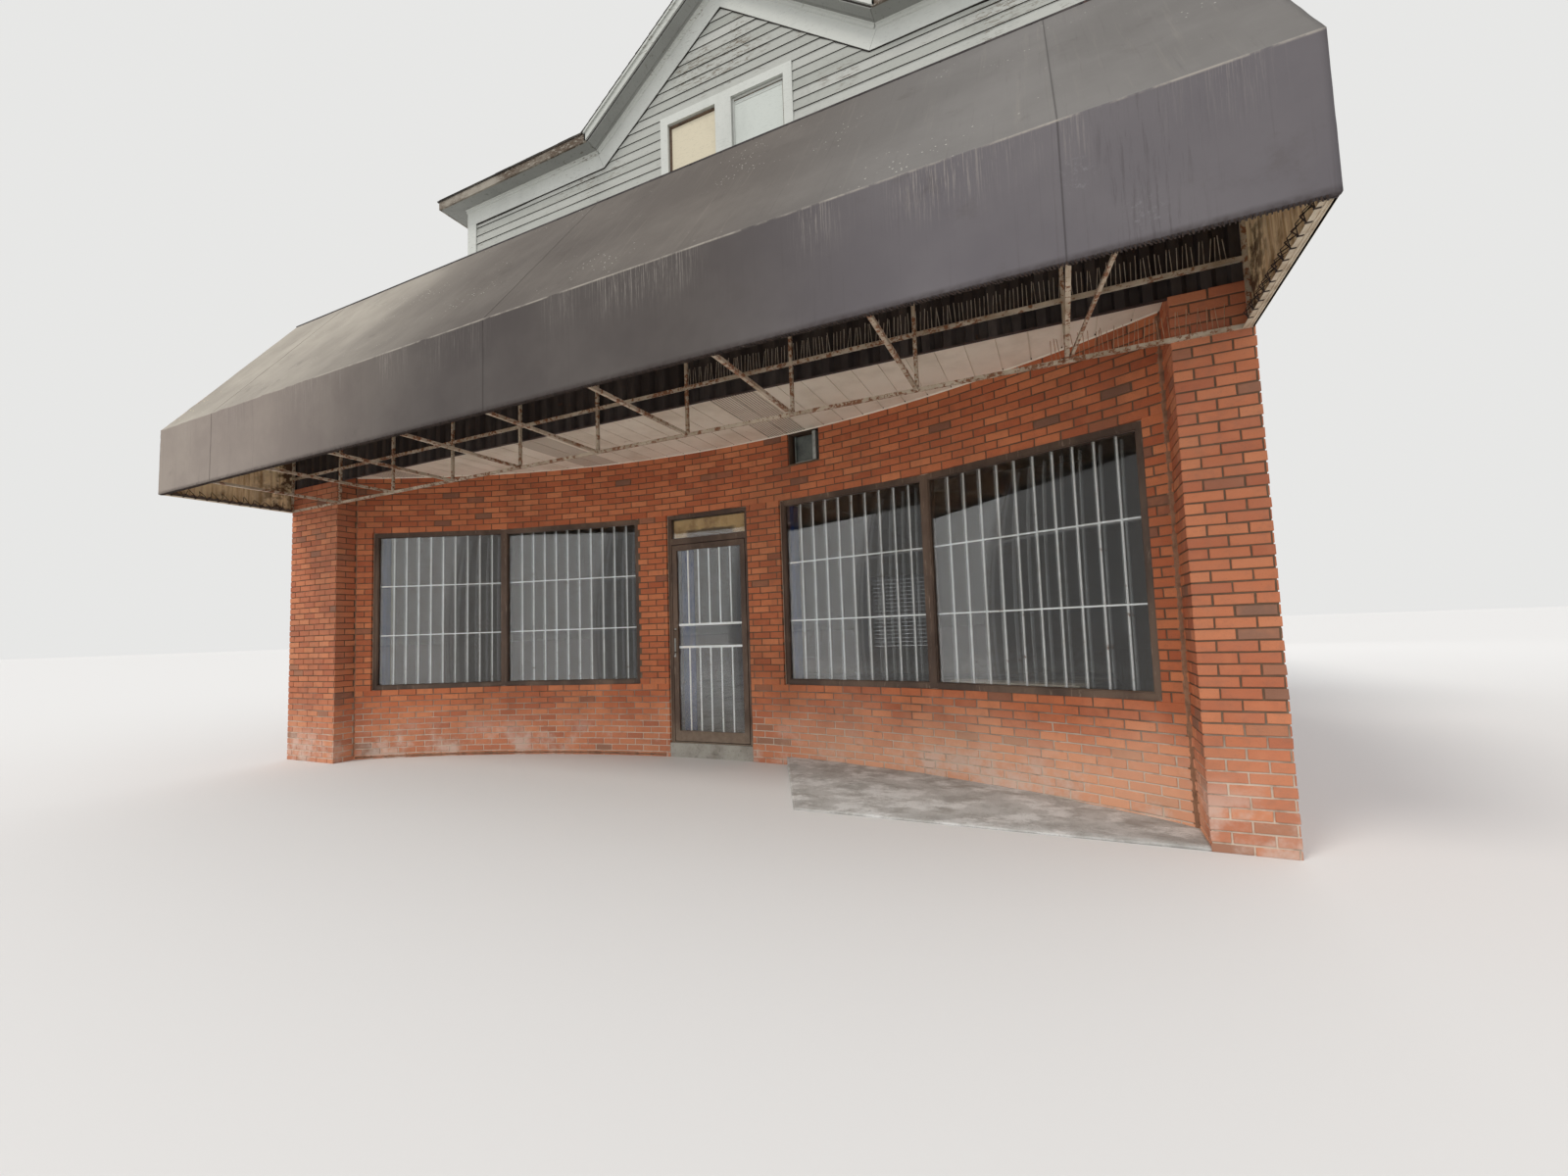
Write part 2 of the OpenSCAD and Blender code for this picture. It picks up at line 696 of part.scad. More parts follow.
// Closed eaves between the wall and the roof's edge
module eaves() on_plot() color(siding) intersection() {
  difference() {
    block([eave_x0, eave_y0, eaves_z], [eave_x1, eave_y1, gable_z]);
    block([house_x0, house_set, eaves_z - cut], [house_x1, plot_d, gable_z + cut]);
    gable(gable_under, eaves_z - cut, eave_y0 - cut, gable_back);
  }
  hip(eaves_z - cut, eaves_z);
}

// Middles of the two front windows, and of the two back ones
pair_shift = (sash_w + 2 * casing_w) / 2;
sash_sill = sash_head - sash_h;
module sash_openings(x, y0, y1) {
  for (k = [-1, 1])
    block([x + k * pair_shift - sash_w / 2, y0, sash_sill],
      [x + k * pair_shift + sash_w / 2, y1, sash_head]);
}

module house_front_wall() on_plot() color(siding) difference() {
  intersection() {
    block([house_x0, house_set, slab_top], [house_x1, house_set + timber_t, gable_z]);
    under_roofs();
  }
  sash_openings(gable_x, house_set - cut, house_set + timber_t + cut);
}

// The back windows are lower, under the level eaves
back_drop = eaves_z - frieze_w - casing_w - sash_head;
module house_back_wall() on_plot() color(siding) difference() {
  intersection() {
    block([house_x0, plot_d - timber_t, slab_top], [house_x1, plot_d, gable_z]);
    hip(slab_top, eaves_z);
  }
  translate([0, 0, back_drop])
    sash_openings(gable_x, plot_d - timber_t - cut, plot_d + cut);
}

module side_wall(x0, x1) {
  intersection() {
    block([x0, house_set + timber_t, slab_top], [x1, plot_d - timber_t, gable_z]);
    hip(slab_top, eaves_z);
  }
}

module house_side_walls() on_plot() color(siding) {
  side_wall(house_x0, house_x0 + timber_t);
  side_wall(house_x1 - timber_t, house_x1);
}

// A post of two boards round one corner, which lies at the origin
module corner_post() {
  linear_extrude(eaves_z - frieze_w - slab_top)
    polygon([[-trim_t, -trim_t], [corner_w, -trim_t], [corner_w, 0], [0, 0],
      [0, corner_w], [-trim_t, corner_w]]);
}

module corner_boards() on_plot() color(white_paint) translate([0, 0, slab_top]) {
  translate([house_x0, house_set, 0]) corner_post();
  translate([house_x1, house_set, 0]) mirror([1, 0, 0]) corner_post();
  translate([house_x0, plot_d, 0]) mirror([0, 1, 0]) corner_post();
  translate([house_x1, plot_d, 0]) mirror([0, 1, 0]) mirror([1, 0, 0]) corner_post();
}

// Outline of the front wall below a line that follows the roofs, a drop below them
module below_roofs(drop) {
  rake_drop = drop / cos(gable_pitch);
  half = (gable_under - rake_drop - eaves_z + drop) / tan(gable_pitch);
  polygon([[house_x0 - trim_t, slab_top], [house_x1 + trim_t, slab_top],
    [house_x1 + trim_t, eaves_z - drop], [gable_x + half, eaves_z - drop],
    [gable_x, gable_under - rake_drop], [gable_x - half, eaves_z - drop],
    [house_x0 - trim_t, eaves_z - drop]]);
}

module frieze() on_plot() color(white_paint) {
  translate([0, house_set, 0]) rotate([90, 0, 0]) linear_extrude(trim_t) difference() {
    below_roofs(seat_gap);
    below_roofs(frieze_w);
  }
  translate([0, 0, eaves_z - frieze_w]) linear_extrude(frieze_w - seat_gap) difference() {
    translate([house_x0 - trim_t, house_set])
      square([house_x1 - house_x0 + 2 * trim_t, plot_d + trim_t - house_set]);
    translate([house_x0, house_set - cut])
      square([house_x1 - house_x0, plot_d - house_set + cut]);
  }
}

// Casings round a pair of windows, with their sill, on a wall face at y = 0
sill_out = 60;
sill_t = 45;
module pair_casings(x) {
  out = pair_shift + sash_w / 2 + casing_w;
  rotate([90, 0, 0]) linear_extrude(trim_t) difference() {
    translate([x - out, sash_sill]) square([2 * out, sash_h + casing_w]);
    for (k = [-1, 1]) translate([x + k * pair_shift - sash_w / 2, sash_sill - cut])
      square([sash_w, sash_h + cut]);
  }
  block([x - out - trim_t, -sill_out, sash_sill - sill_t], [x + out + trim_t, 0, sash_sill]);
}

module window_casings() on_plot() color(white_paint) {
  translate([0, house_set, 0]) pair_casings(gable_x);
  translate([0, plot_d, back_drop]) mirror([0, 1, 0]) pair_casings(gable_x);
}

// Boards that close the sashes, set back from the wall's face
board_set = 30;
module window_boards() on_plot() color(beige) {
  sash_openings(gable_x, house_set + board_set, house_set + board_set + board_t);
  translate([0, 0, back_drop])
    sash_openings(gable_x, plot_d - board_set - board_t, plot_d - board_set);
}

street_piers();
walls_beside_openings();
walls_under_windows();
walls_over_openings();
wall_vent();
door_step();
concrete_apron();
window_frames();
window_glass();
window_grilles();
door_frame();
door_leaf();
door_glass();
door_grille();
door_pull();
recess_ceiling();
street_beam();
metal_fascia();
parapets();
parapet_cap();
awning_wall_frame();
awning_arms();
awning_front_frame();
awning_rafters();
awning_slope();
awning_valance();
awning_ends();
shop_floor();
shop_roof();
party_walls();
back_wall();
upper_floor();
house_front_wall();
house_side_walls();
house_back_wall();
corner_boards();
frieze();
window_casings();
window_boards();
eaves();
main_roof();
gable_roof();
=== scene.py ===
"""The looks of the corner shop building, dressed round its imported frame. Sizes are in metres."""

import functools
import json
import math

import bpy
import numpy as np
from mathutils import Matrix, Vector, noise


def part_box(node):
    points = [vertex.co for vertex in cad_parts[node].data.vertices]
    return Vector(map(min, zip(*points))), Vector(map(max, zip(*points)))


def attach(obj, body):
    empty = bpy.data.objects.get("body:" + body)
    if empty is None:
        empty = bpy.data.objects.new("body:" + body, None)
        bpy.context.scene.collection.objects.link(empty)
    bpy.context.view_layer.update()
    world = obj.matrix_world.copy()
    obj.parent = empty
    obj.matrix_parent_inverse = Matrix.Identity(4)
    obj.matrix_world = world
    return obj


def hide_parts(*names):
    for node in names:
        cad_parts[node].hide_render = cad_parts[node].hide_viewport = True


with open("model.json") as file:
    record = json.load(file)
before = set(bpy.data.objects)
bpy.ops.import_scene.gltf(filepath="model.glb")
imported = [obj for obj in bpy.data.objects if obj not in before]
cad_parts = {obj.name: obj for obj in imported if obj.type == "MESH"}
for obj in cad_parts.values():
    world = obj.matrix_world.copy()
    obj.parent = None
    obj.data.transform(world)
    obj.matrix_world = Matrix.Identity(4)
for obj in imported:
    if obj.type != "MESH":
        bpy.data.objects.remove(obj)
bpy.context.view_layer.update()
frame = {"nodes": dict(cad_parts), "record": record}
RNG = np.random.default_rng(20)

# Places that the frame gives
PIER_LOW, PIER_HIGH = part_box("street_piers")
HALF_W, STREET_Y = PIER_HIGH.x, PIER_LOW.y
CEILING_LOW, CEILING_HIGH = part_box("recess_ceiling")
PIER_X, CEILING_Z = (CEILING_LOW.x, CEILING_HIGH.x), CEILING_LOW.z
BACK_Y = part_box("back_wall")[1].y
THRESHOLD_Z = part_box("shop_floor")[1].z
SILL_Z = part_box("walls_under_windows")[1].z
HEAD_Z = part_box("walls_over_openings")[0].z
BEAM_LOW, BEAM_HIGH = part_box("street_beam")
SLAB_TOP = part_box("shop_roof")[1].z
PARAPET_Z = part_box("parapets")[1].z
FASCIA_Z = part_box("metal_fascia")[0].z
HOUSE_LOW, HOUSE_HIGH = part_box("house_front_wall")
HOUSE_BACK_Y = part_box("house_back_wall")[1].y
ROOF_LOW, ROOF_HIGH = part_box("main_roof")
GABLE_LOW, GABLE_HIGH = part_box("gable_roof")
AWNING_TOP_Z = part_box("awning_slope")[1].z
VALANCE_LOW, VALANCE_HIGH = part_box("awning_valance")
WALL_TUBES_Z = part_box("awning_wall_frame")[0].z
APRON_TOP_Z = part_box("concrete_apron")[1].z

# The bowed wall and its openings, as the part's source has them
BOW_X, BOW_DEPTH, BOW_R = 0.345, 1.410, 8.120
BOW_Y = STREET_Y + BOW_DEPTH - BOW_R
FRAME_SET, FRAME_D, FRAME_W = 0.030, 0.100, 0.050
DOOR_W, DOOR_SHIFT = 1.015, 0.114
LEFT_END_W, RIGHT_END_W, LEFT_GAP, RIGHT_GAP = 0.184, 0.162, 0.362, 0.390
NARROW_PANE = 1.560
VENT_SHIFT, VENT_W, VENT_H = 0.130, 0.365, 0.330
TRANSOM_Z = THRESHOLD_Z + 2.175 + 0.067
BACK_WINDOW_W = 1.740


def arc_s(x):
    """Distance along the bow's street face of the point at x."""
    return BOW_R * math.asin((x - BOW_X) / BOW_R)


BOW_S0, BOW_S1 = (arc_s(x) for x in PIER_X)
DOOR_S0 = -DOOR_SHIFT - DOOR_W / 2
DOOR_S1 = DOOR_S0 + DOOR_W
LEFT_S0, LEFT_S2 = BOW_S0 + LEFT_END_W, DOOR_S0 - LEFT_GAP
RIGHT_S0, RIGHT_S2 = DOOR_S1 + RIGHT_GAP, BOW_S1 - RIGHT_END_W
WINDOWS = ((LEFT_S0, LEFT_S0 + NARROW_PANE, LEFT_S2), (RIGHT_S0, RIGHT_S0 + NARROW_PANE, RIGHT_S2))
VENT_S0 = RIGHT_S0 + VENT_SHIFT

# Brickwork
BRICK_L, JOINT, PROUD = 0.200, 0.010, 0.006
COURSE = (HEAD_Z - SILL_Z) / 28
SKIN = 0.002

# Awning
BAYS, BAY_W = 10, 0.957
TUBE, MID_TUBE_H = 0.025, 0.400
CLOTH_T = 0.0025
LACE_PITCH, EYELET_PITCH, SPIKE_PITCH = 0.018, 0.098, 0.027
SEAMS = (-3.780, 0.013, 3.807)
SEAM_HALF = 0.0135

# Recess ceiling, counted in panels from its right end
PANEL_W, GROOVE_X = 0.2126, 4.241
PIERCED = (13, 14, 24, 25, 35, 36)
NAIL_ANGLES = (0.5, 1.55, 2.6, 3.65, 4.7, 5.75)

# Hand-run beads
BEAD_STEP, ALONG_U, ALONG_Z = 0.08, (1, 0), (0, 1)

# House
ROOF_PITCH, GABLE_PITCH = math.radians(32), math.radians(37.6)
EXPOSURE, BUTT, LONGEST_BOARD = 0.127, 0.0155, 4.4
SHINGLE_EXPOSURE, SHINGLE_W, SHINGLE_OUT, CAP_W = 0.143, 0.305, 0.050, 0.13
FRIEZE_W, CORNER_W, CASING_W, TRIM_T = 0.260, 0.160, 0.115, 0.025
SASH_W, SASH_H = 0.720, 1.400
CASING_H = SASH_H + CASING_W + 0.045
EAVES_Z, EDGE_Z = ROOF_LOW.z, GABLE_LOW.z
FRIEZE_Z = EAVES_Z - FRIEZE_W
GABLE_X, GABLE_HALF = (GABLE_LOW.x + GABLE_HIGH.x) / 2, (GABLE_HIGH.x - GABLE_LOW.x) / 2
ROOF_T = EDGE_Z - EAVES_Z
GABLE_UNDER = GABLE_HIGH.z - ROOF_T / math.cos(GABLE_PITCH)
UNDER_HALF = (GABLE_UNDER - EAVES_Z) / math.tan(GABLE_PITCH)
RAKE_PEAK = GABLE_UNDER - FRIEZE_W / math.cos(GABLE_PITCH)

GREY = (0.5, 0.5, 0.5)

# The photograph's camera: right, up and forward
LENS, VIEWPOINT = 13.968, (3.711, -9.913, 1.33)
VIEW_AXES = ((0.9080, 0.4177, -0.0339), (0.05985, -0.04923, 0.99702), (-0.4148, 0.9072, 0.0697))
FLOOR_HALF = 500


def srgb(red, green, blue, share=1.0):
    """A colour given in 0 to 255 steps, as linear values with alpha, dimmed to a share."""
    line = [c / 255 for c in (red, green, blue)]
    return (*(share * (c / 12.92 if c <= 0.04045 else ((c + 0.055) / 1.055) ** 2.4) for c in line), 1)


class Shape:
    """Vertices, faces and tones of one piece, gathered part by part."""

    def __init__(self):
        self.verts, self.faces, self.tones, self.slots = [], [], [], []
        self.count = 0

    def add(self, verts, faces, tone=GREY, slot=0):
        verts = np.asarray(verts, float).reshape(-1, 3)
        self.verts.append(verts)
        self.tones.append(np.broadcast_to(np.asarray(tone, float), (len(verts), 3)))
        self.faces += [tuple(i + self.count for i in face) for face in faces]
        self.slots += [slot] * len(faces)
        self.count += len(verts)

    def many(self, verts, faces, tones):
        """Copies of one template: verts is (copies, points, 3) and tones is (copies, 3)."""
        copies, points = verts.shape[:2]
        self.verts.append(verts.reshape(-1, 3))
        self.tones.append(np.repeat(tones, points, axis=0))
        starts = self.count + points * np.arange(copies)
        for face in faces:
            self.faces += list(map(tuple, (starts[:, None] + np.array(face)).tolist()))
        self.slots += [0] * (copies * len(faces))
        self.count += copies * points

    def grid(self, points, tone=GREY, slot=0, flip=False):
        """A sheet of quads through points of shape (rows, columns, 3)."""
        rows, columns = points.shape[:2]
        index = np.arange(rows * columns).reshape(rows, columns)
        quads = np.stack([index[:-1, :-1], index[:-1, 1:], index[1:, 1:], index[1:, :-1]], -1).reshape(-1, 4)
        self.add(points, (quads[:, ::-1] if flip else quads).tolist(), tone, slot)

    def build(self, name, materials, slot, body="building", replaces=(), smooth=False):
        mesh = bpy.data.meshes.new(name)
        mesh.from_pydata(np.concatenate(self.verts).tolist(), [], self.faces)
        colour = mesh.attributes.new("tone", "FLOAT_COLOR", "POINT")
        tones = np.concatenate(self.tones)
        colour.data.foreach_set("color", np.column_stack([tones, np.ones(len(tones))]).astype(np.float32).ravel())
        for material in materials:
            mesh.materials.append(material)
        mesh.polygons.foreach_set("material_index", self.slots)
        mesh.polygons.foreach_set("use_smooth", [smooth] * len(self.faces))
        mesh.update()
        piece = bpy.data.objects.new(name, mesh)
        bpy.context.scene.collection.objects.link(piece)
        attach(piece, body)
        if replaces:
            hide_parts(*replaces)
        return piece


class Wall:
    """A face to lay bricks or boards on: u runs along it, z is up and out leaves it."""

    def __init__(self, origin, along, out):
        self.origin, self.along, self.out = (np.array(v, float) for v in (origin, along, out))
        self.mirrored = np.dot(np.cross(self.along, (0, 0, 1)), self.out) < 0

    def place(self, u, z, out):
        u, z, out = (np.asarray(v, float)[..., None] for v in np.broadcast_arrays(u, z, out))
        return self.origin + u * self.along + z * np.array((0, 0, 1.0)) + out * self.out


class Bow:
    """The bowed wall's street face, or one set back from it, with u as the distance along it."""

    mirrored = False

    def __init__(self, set_back=0.0):
        self.radius = BOW_R + set_back

    def place(self, u, z, out):
        u, z, out = np.broadcast_arrays(u, z, out)
        angle, radius = np.asarray(u, float) / BOW_R, self.radius - np.asarray(out, float)
        return np.stack([BOW_X + radius * np.sin(angle), BOW_Y + radius * np.cos(angle), z], -1)


class Chord(Wall):
    """The flat face of a frame that stands in the bow between two stations."""

    def __init__(self, s0, s1):
        a, b = (Bow(FRAME_SET).place(s, 0, 0) for s in (s0, s1))
        self.length = float(np.linalg.norm(b - a))
        along = (b - a) / self.length
        super().__init__(a, along, np.cross(along, (0, 0, 1.0)))


def facing(y, out, x=0.0):
    """A wall along X at y that looks to the street (out -1) or the back (out 1)."""
    return Wall((x, y, 0), (1, 0, 0), (0, out, 0))


def sideways(x, out, y=0.0):
    """A wall along Y at x that looks left (out -1) or right (out 1)."""
    return Wall((x, y, 0), (0, 1, 0), (out, 0, 0))


def turned(faces, mirrored):
    return [face[::-1] for face in faces] if mirrored else list(faces)


BOX_FACES = [(0, 1, 5, 4), (1, 2, 6, 5), (2, 3, 7, 6), (3, 0, 4, 7), (4, 5, 6, 7)]
BRICK_FACES = BOX_FACES[:4] + [(4, 5, 9, 8), (5, 6, 10, 9), (6, 7, 11, 10), (7, 4, 8, 11), (8, 9, 10, 11)]


def slab(shape, wall, u0, u1, z0, z1, out0, out1, tone=GREY, chamfer=0.0):
    """A closed box on a wall, with its front arrises cut by a chamfer."""
    levels = [(0.0, out0), (0.0, out1 - chamfer)] + ([(chamfer, out1)] if chamfer else [])
    points = [wall.place(u + inset * du, z + inset * dz, out) for inset, out in levels
              for u, z, du, dz in ((u0, z0, 1, 1), (u1, z0, -1, 1), (u1, z1, -1, -1), (u0, z1, 1, -1))]
    faces = (BRICK_FACES if chamfer else BOX_FACES) + [(3, 2, 1, 0)]
    shape.add(points, turned(faces, wall.mirrored), tone)


def cut_out(rectangle, hole):
    """What is left of a rectangle (u0, u1, z0, z1) outside a hole."""
    u0, u1, z0, z1 = rectangle
    a, b, c, d = hole
    if u1 <= a or u0 >= b or z1 <= c or z0 >= d:
        return [rectangle]
    left, right = max(u0, a), min(u1, b)
    rest = [(u0, a, z0, z1), (b, u1, z0, z1), (left, right, z0, c), (left, right, d, z1)]
    return [(p, q, r, s) for p, q, r, s in rest if q - p > 1e-6 and s - r > 1e-6]


def bond(u0, u1, z0, z1, holes=(), shift=0.0):
    """The bricks of a running bond with their joints taken off, as rows of u0, u1, z0, z1."""
    rows = []
    for course in range(math.floor((z0 - SILL_Z) / COURSE), math.ceil((z1 - SILL_Z) / COURSE)):
        low, high = SILL_Z + course * COURSE, SILL_Z + (course + 1) * COURSE
        start = u0 - BRICK_L + (course % 2) * BRICK_L / 2 + shift
        for k in range(int((u1 - start) / BRICK_L) + 1):
            brick = (max(start + k * BRICK_L, u0), min(start + (k + 1) * BRICK_L, u1), max(low, z0), min(high, z1))
            if brick[1] - brick[0] < 1e-6 or brick[3] - brick[2] < 1e-6:
                continue
            parts = [brick]
            for hole in holes:
                parts = [rest for part in parts for rest in cut_out(part, hole)]
            rows += parts
    bricks = np.array(rows)
    for column, sign in enumerate((1, -1, 1, -1)):
        pair = 2 * (column // 2)
        edges = [u0, u1, z0, z1][pair:pair + 2] + [edge for hole in holes for edge in hole[pair:pair + 2]]
        inner = np.all([np.abs(bricks[:, column] - e) > 1e-6 for e in edges], axis=0)
        bricks[:, column] += sign * np.where(inner, JOINT / 2, -0.001)
    return bricks[(bricks[:, 1] - bricks[:, 0] > 0.02) & (bricks[:, 3] - bricks[:, 2] > 0.012)]


def lay_bricks(shape, wall, bricks, back=SKIN, burnt=0.09, chamfer=0.003):
    """Bricks as chamfered boxes with uneven arrises, each a little out of line and with a tone of its own."""
    n = len(bricks)
    out = PROUD + np.clip(RNG.normal(0, 0.0009, n), -0.0018, 0.0018)
    corners = []
    for column_u, column_z in ((0, 2), (1, 2), (1, 3), (0, 3)):
        jitter = np.clip(RNG.normal(0, 0.0010, (n, 2)), -0.0018, 0.0018)
        corners.append((bricks[:, column_u] + jitter[:, 0], np.maximum(bricks[:, column_z] + jitter[:, 1], 0.0)))
    rings = []
    for inset, level in ((0, np.full(n, -back)), (0, out - chamfer), (chamfer, out)):
        for (u, z), du, dz in zip(corners, (1, -1, -1, 1), (1, 1, -1, -1)):
            rings.append(wall.place(u + du * inset, z + dz * inset, level))
    tones = np.column_stack([RNG.random(n), RNG.random(n), (RNG.random(n) < burnt) * RNG.uniform(0.4, 1, n)])
    shape.many(np.stack(rings, 1), turned(BRICK_FACES, wall.mirrored), tones)


def square(half):
    return [(-half, -half), (half, -half), (half, half), (-half, half)]


def sweep(shape, path, section, up=(0, 0, 1)):
    """A closed section of (sideways, up) points carried along a path, mitred at its corners."""
    path = [Vector(p) for p in path]
    n, k = len(path), len(section)
    runs = [(b - a).normalized() for a, b in zip(path, path[1:])]
    verts = []
    for point, into, away in zip(path, runs[:1] + runs, runs + runs[-1:]):
        along = (into + away).normalized()
        side = along.cross(Vector(up)).normalized()
        top = side.cross(along)
        stretch = 1 / max(0.3, along.dot(into))
        verts += [point + side * (a * stretch) + top * b for a, b in section]
    faces = [(i * k + m, i * k + (m + 1) % k, (i + 1) * k + (m + 1) % k, (i + 1) * k + m)
             for i in range(n - 1) for m in range(k)]
    faces += [tuple(range(k))[::-1], tuple((n - 1) * k + m for m in range(k))]
    shape.add(verts, faces)


def prism(shape, outline, shift, tone=None):
    """A flat outline carried along a vector, closed at both ends."""
    outline, shift = [Vector(p) for p in outline], Vector(shift)
    n = len(outline)
    area = sum((outline[i].cross(outline[(i + 1) % n]) for i in range(n)), Vector())
    if area.dot(shift) > 0:
        outline.reverse()
    faces = [tuple(range(n)), tuple(range(2 * n - 1, n - 1, -1))]
    faces += [(i, n + i, n + (i + 1) % n, (i + 1) % n) for i in range(n)]
    shape.add(outline + [p + shift for p in outline], faces, tone or (RNG.random(), 0.5, 0.5))


def closed_sheet(shape, outer, inner, tone=GREY, inner_slot=0):
    """Both faces of a sheet and the rim that joins them."""
    n = outer.shape[0] * outer.shape[1]
    start = shape.count
    shape.grid(outer, tone)
    shape.grid(inner, tone, inner_slot, flip=True)
    index = np.arange(n).reshape(outer.shape[:2])
    rim = [int(i) for side in (index[0], index[1:, -1], index[-1, -2::-1], index[-2:0:-1, 0]) for i in side]
    faces = [(start + b, start + a, start + n + a, start + n + b) for a, b in zip(rim, rim[1:] + rim[:1])]
    shape.faces += faces
    shape.slots += [0] * len(faces)


def clipped(polygon, lines):
    """A convex polygon cut to a*u + b*v <= c for each line (a, b, c)."""
    for a, b, c in lines:
        kept = []
        for i, p in enumerate(polygon):
            q = polygon[(i + 1) % len(polygon)]
            dp, dq = a * p[0] + b * p[1] - c, a * q[0] + b * q[1] - c
            if dp <= 0:
                kept.append(p)
            if dp * dq < 0:
                t = dp / (dp - dq)
                kept.append((p[0] + t * (q[0] - p[0]), p[1] + t * (q[1] - p[1])))
        polygon = kept
        if len(polygon) < 3:
            return []
    return polygon


# Materials


class Paint:
    """A material and its node tree. Colours are given in 0 to 255 steps, and layers go on one by one."""

    def __init__(self, name, colour=None, **values):
        self.material = bpy.data.materials.new(name)
        self.material.use_nodes = True
        self.tree = self.material.node_tree
        self.shader = self.tree.nodes["Principled BSDF"]
        self.colour = colour
        self.set(**values)

    def node(self, kind, inputs=None, **settings):
        node = self.tree.nodes.new(kind)
        for key, value in settings.items():
            setattr(node, key, value)
        for key, value in (inputs or {}).items():
            self.put(node.inputs[key], value)
        return node

    def put(self, socket, value):
        if isinstance(value, bpy.types.NodeSocket):
            self.tree.links.new(value, socket)
        elif socket.type == "RGBA" and len(value) == 3:
            socket.default_value = srgb(*value)
        else:
            socket.default_value = value

    def set(self, **sockets):
        for name, value in sockets.items():
            self.put(self.shader.inputs[name.replace("_", " ")], value)
        return self.material

    def done(self, normal, **sockets):
        """The material, with its layered colour and its bumps."""
        return self.set(Base_Color=self.colour, Normal=normal, **sockets)

    def place(self, scale):
        """Object coordinates, stretched."""
        at = self.node("ShaderNodeTexCoord").outputs["Object"]
        return self.node("ShaderNodeVectorMath", {0: at, 1: scale}, operation="MULTIPLY").outputs[0]

    def axis(self, name):
        at = self.node("ShaderNodeTexCoord").outputs["Object"]
        return self.node("ShaderNodeSeparateXYZ", {0: at}).outputs[name]

    def tone(self, channel):
        """Red, Green or Blue of the piece's own tones."""
        colour = self.node("ShaderNodeAttribute", attribute_name="tone").outputs["Color"]
        return self.node("ShaderNodeSeparateColor", {0: colour}).outputs[channel]

    def noise(self, scale, detail=4.0, rough=0.55, stretch=(1, 1, 1)):
        inputs = {"Vector": self.place(stretch), "Scale": scale, "Detail": detail, "Roughness": rough}
        return self.node("ShaderNodeTexNoise", inputs).outputs["Fac"]

    def cells(self, scale, feature="F1", stretch=(1, 1, 1), jitter=1.0):
        inputs = {"Vector": self.place(stretch), "Scale": scale, "Randomness": jitter}
        return self.node("ShaderNodeTexVoronoi", inputs, feature=feature).outputs["Distance"]

    def maths(self, operation, a, b=0.0, c=0.0):
        return self.node("ShaderNodeMath", {0: a, 1: b, 2: c}, operation=operation).outputs[0]

    def times(self, a, b):
        return self.maths("MULTIPLY", a, b)

    def inverse(self, mask):
        return self.maths("SUBTRACT", 1.0, mask)

    def off(self, value, at):
        """How far a value is from a place."""
        return self.maths("ABSOLUTE", self.maths("SUBTRACT", value, at))

    def band(self, value, start, end):
        """0 below start and 1 above end, smoothly; start may be the larger."""
        node = self.node("ShaderNodeMapRange", {"Value": value, "From Min": start, "From Max": end},
                         interpolation_type="SMOOTHSTEP")
        return node.outputs["Result"]

    def spots(self, scale, start, end, detail=5, rough=0.55, stretch=(1, 1, 1)):
        """Patches where noise is past a value."""
        return self.band(self.noise(scale, detail, rough, stretch), start, end)

    def mix(self, share, a, b):
        node = self.node("ShaderNodeMix", {0: share, 6: a, 7: b}, data_type="RGBA")
        return node.outputs[2]

    def layer(self, tint, *masks):
        """A tint over the colour so far, where all the masks are."""
        self.colour = self.mix(functools.reduce(self.times, masks), self.colour, tint)

    def ramp(self, value, colours):
        """A colour for each value from 0 to 1, evenly spaced."""
        node = self.node("ShaderNodeValToRGB", {0: value})
        points = node.color_ramp.elements
        while len(points) < len(colours):
            points.new(0.5)
        for i, (point, colour) in enumerate(zip(points, colours)):
            point.position = i / (len(colours) - 1)
            point.color = srgb(*colour)
        return node.outputs[0]

    def bump(self, height, depth, under=None):
        inputs = {"Height": height, "Distance": depth, "Strength": 1.0}
        if under is not None:
            inputs["Normal"] = under
        return self.node("ShaderNodeBump", inputs).outputs[0]

    def grain(self, scale, depth, detail=3, rough=0.55, stretch=(1, 1, 1), under=None):
        """Fine bumps from noise."""
        return self.bump(self.noise(scale, detail, rough, stretch), depth, under)


def brick_paint(name, shades, burnt, bloom, soot):
    """Fired brick: a shade for each brick, mottling, specks, soot, feet painted paler as painted light from the
    ground, and salt bloom.
    """
    p = Paint(name, Roughness=0.88, Specular_IOR_Level=0.25)
    p.colour = p.ramp(p.tone("Red"), shades)
    p.layer(burnt, p.tone("Blue"))
    p.layer(burnt, p.spots(16, 0.45, 0.75, 5, 0.65), 0.30)
    p.layer(shades[-1], p.spots(7, 0.5, 0.8, 3), 0.35)
    p.layer((92, 62, 48), p.spots(170, 0.60, 0.72, 2, 0.5), 0.35)
    p.layer((98, 70, 54), p.spots(1.3, 0.44, 0.72, 5, 0.6, (1, 1, 0.6)), soot)
    # Paler towards the foot of the walls, most under the right window: painted light from the bright ground.
    painted_ground_light = p.band(p.maths("MULTIPLY_ADD", p.noise(2.0), 0.6, p.axis("Z")), 1.15, 0.45)
    bow = p.band(p.axis("Y"), STREET_Y + 0.02, STREET_Y + 0.30)
    under_right_window = p.times(p.band(p.axis("X"), 0.8, 1.8), bow)
    p.layer((232, 182, 150), painted_ground_light, p.maths("MULTIPLY_ADD", under_right_window, 0.41, 0.17))
    p.layer((176, 142, 122), p.inverse(bow), p.noise(3.0, 5, 0.7, (1, 1, 2)), 0.30)
    p.layer((210, 194, 182), p.band(p.axis("Z"), 0.50, 0.14), p.spots(2.6, 0.46, 0.66, 5, 0.7), bloom)
    return p.done(p.grain(260, 0.0007, 2, under=p.grain(55, 0.0018, 4, 0.6)))


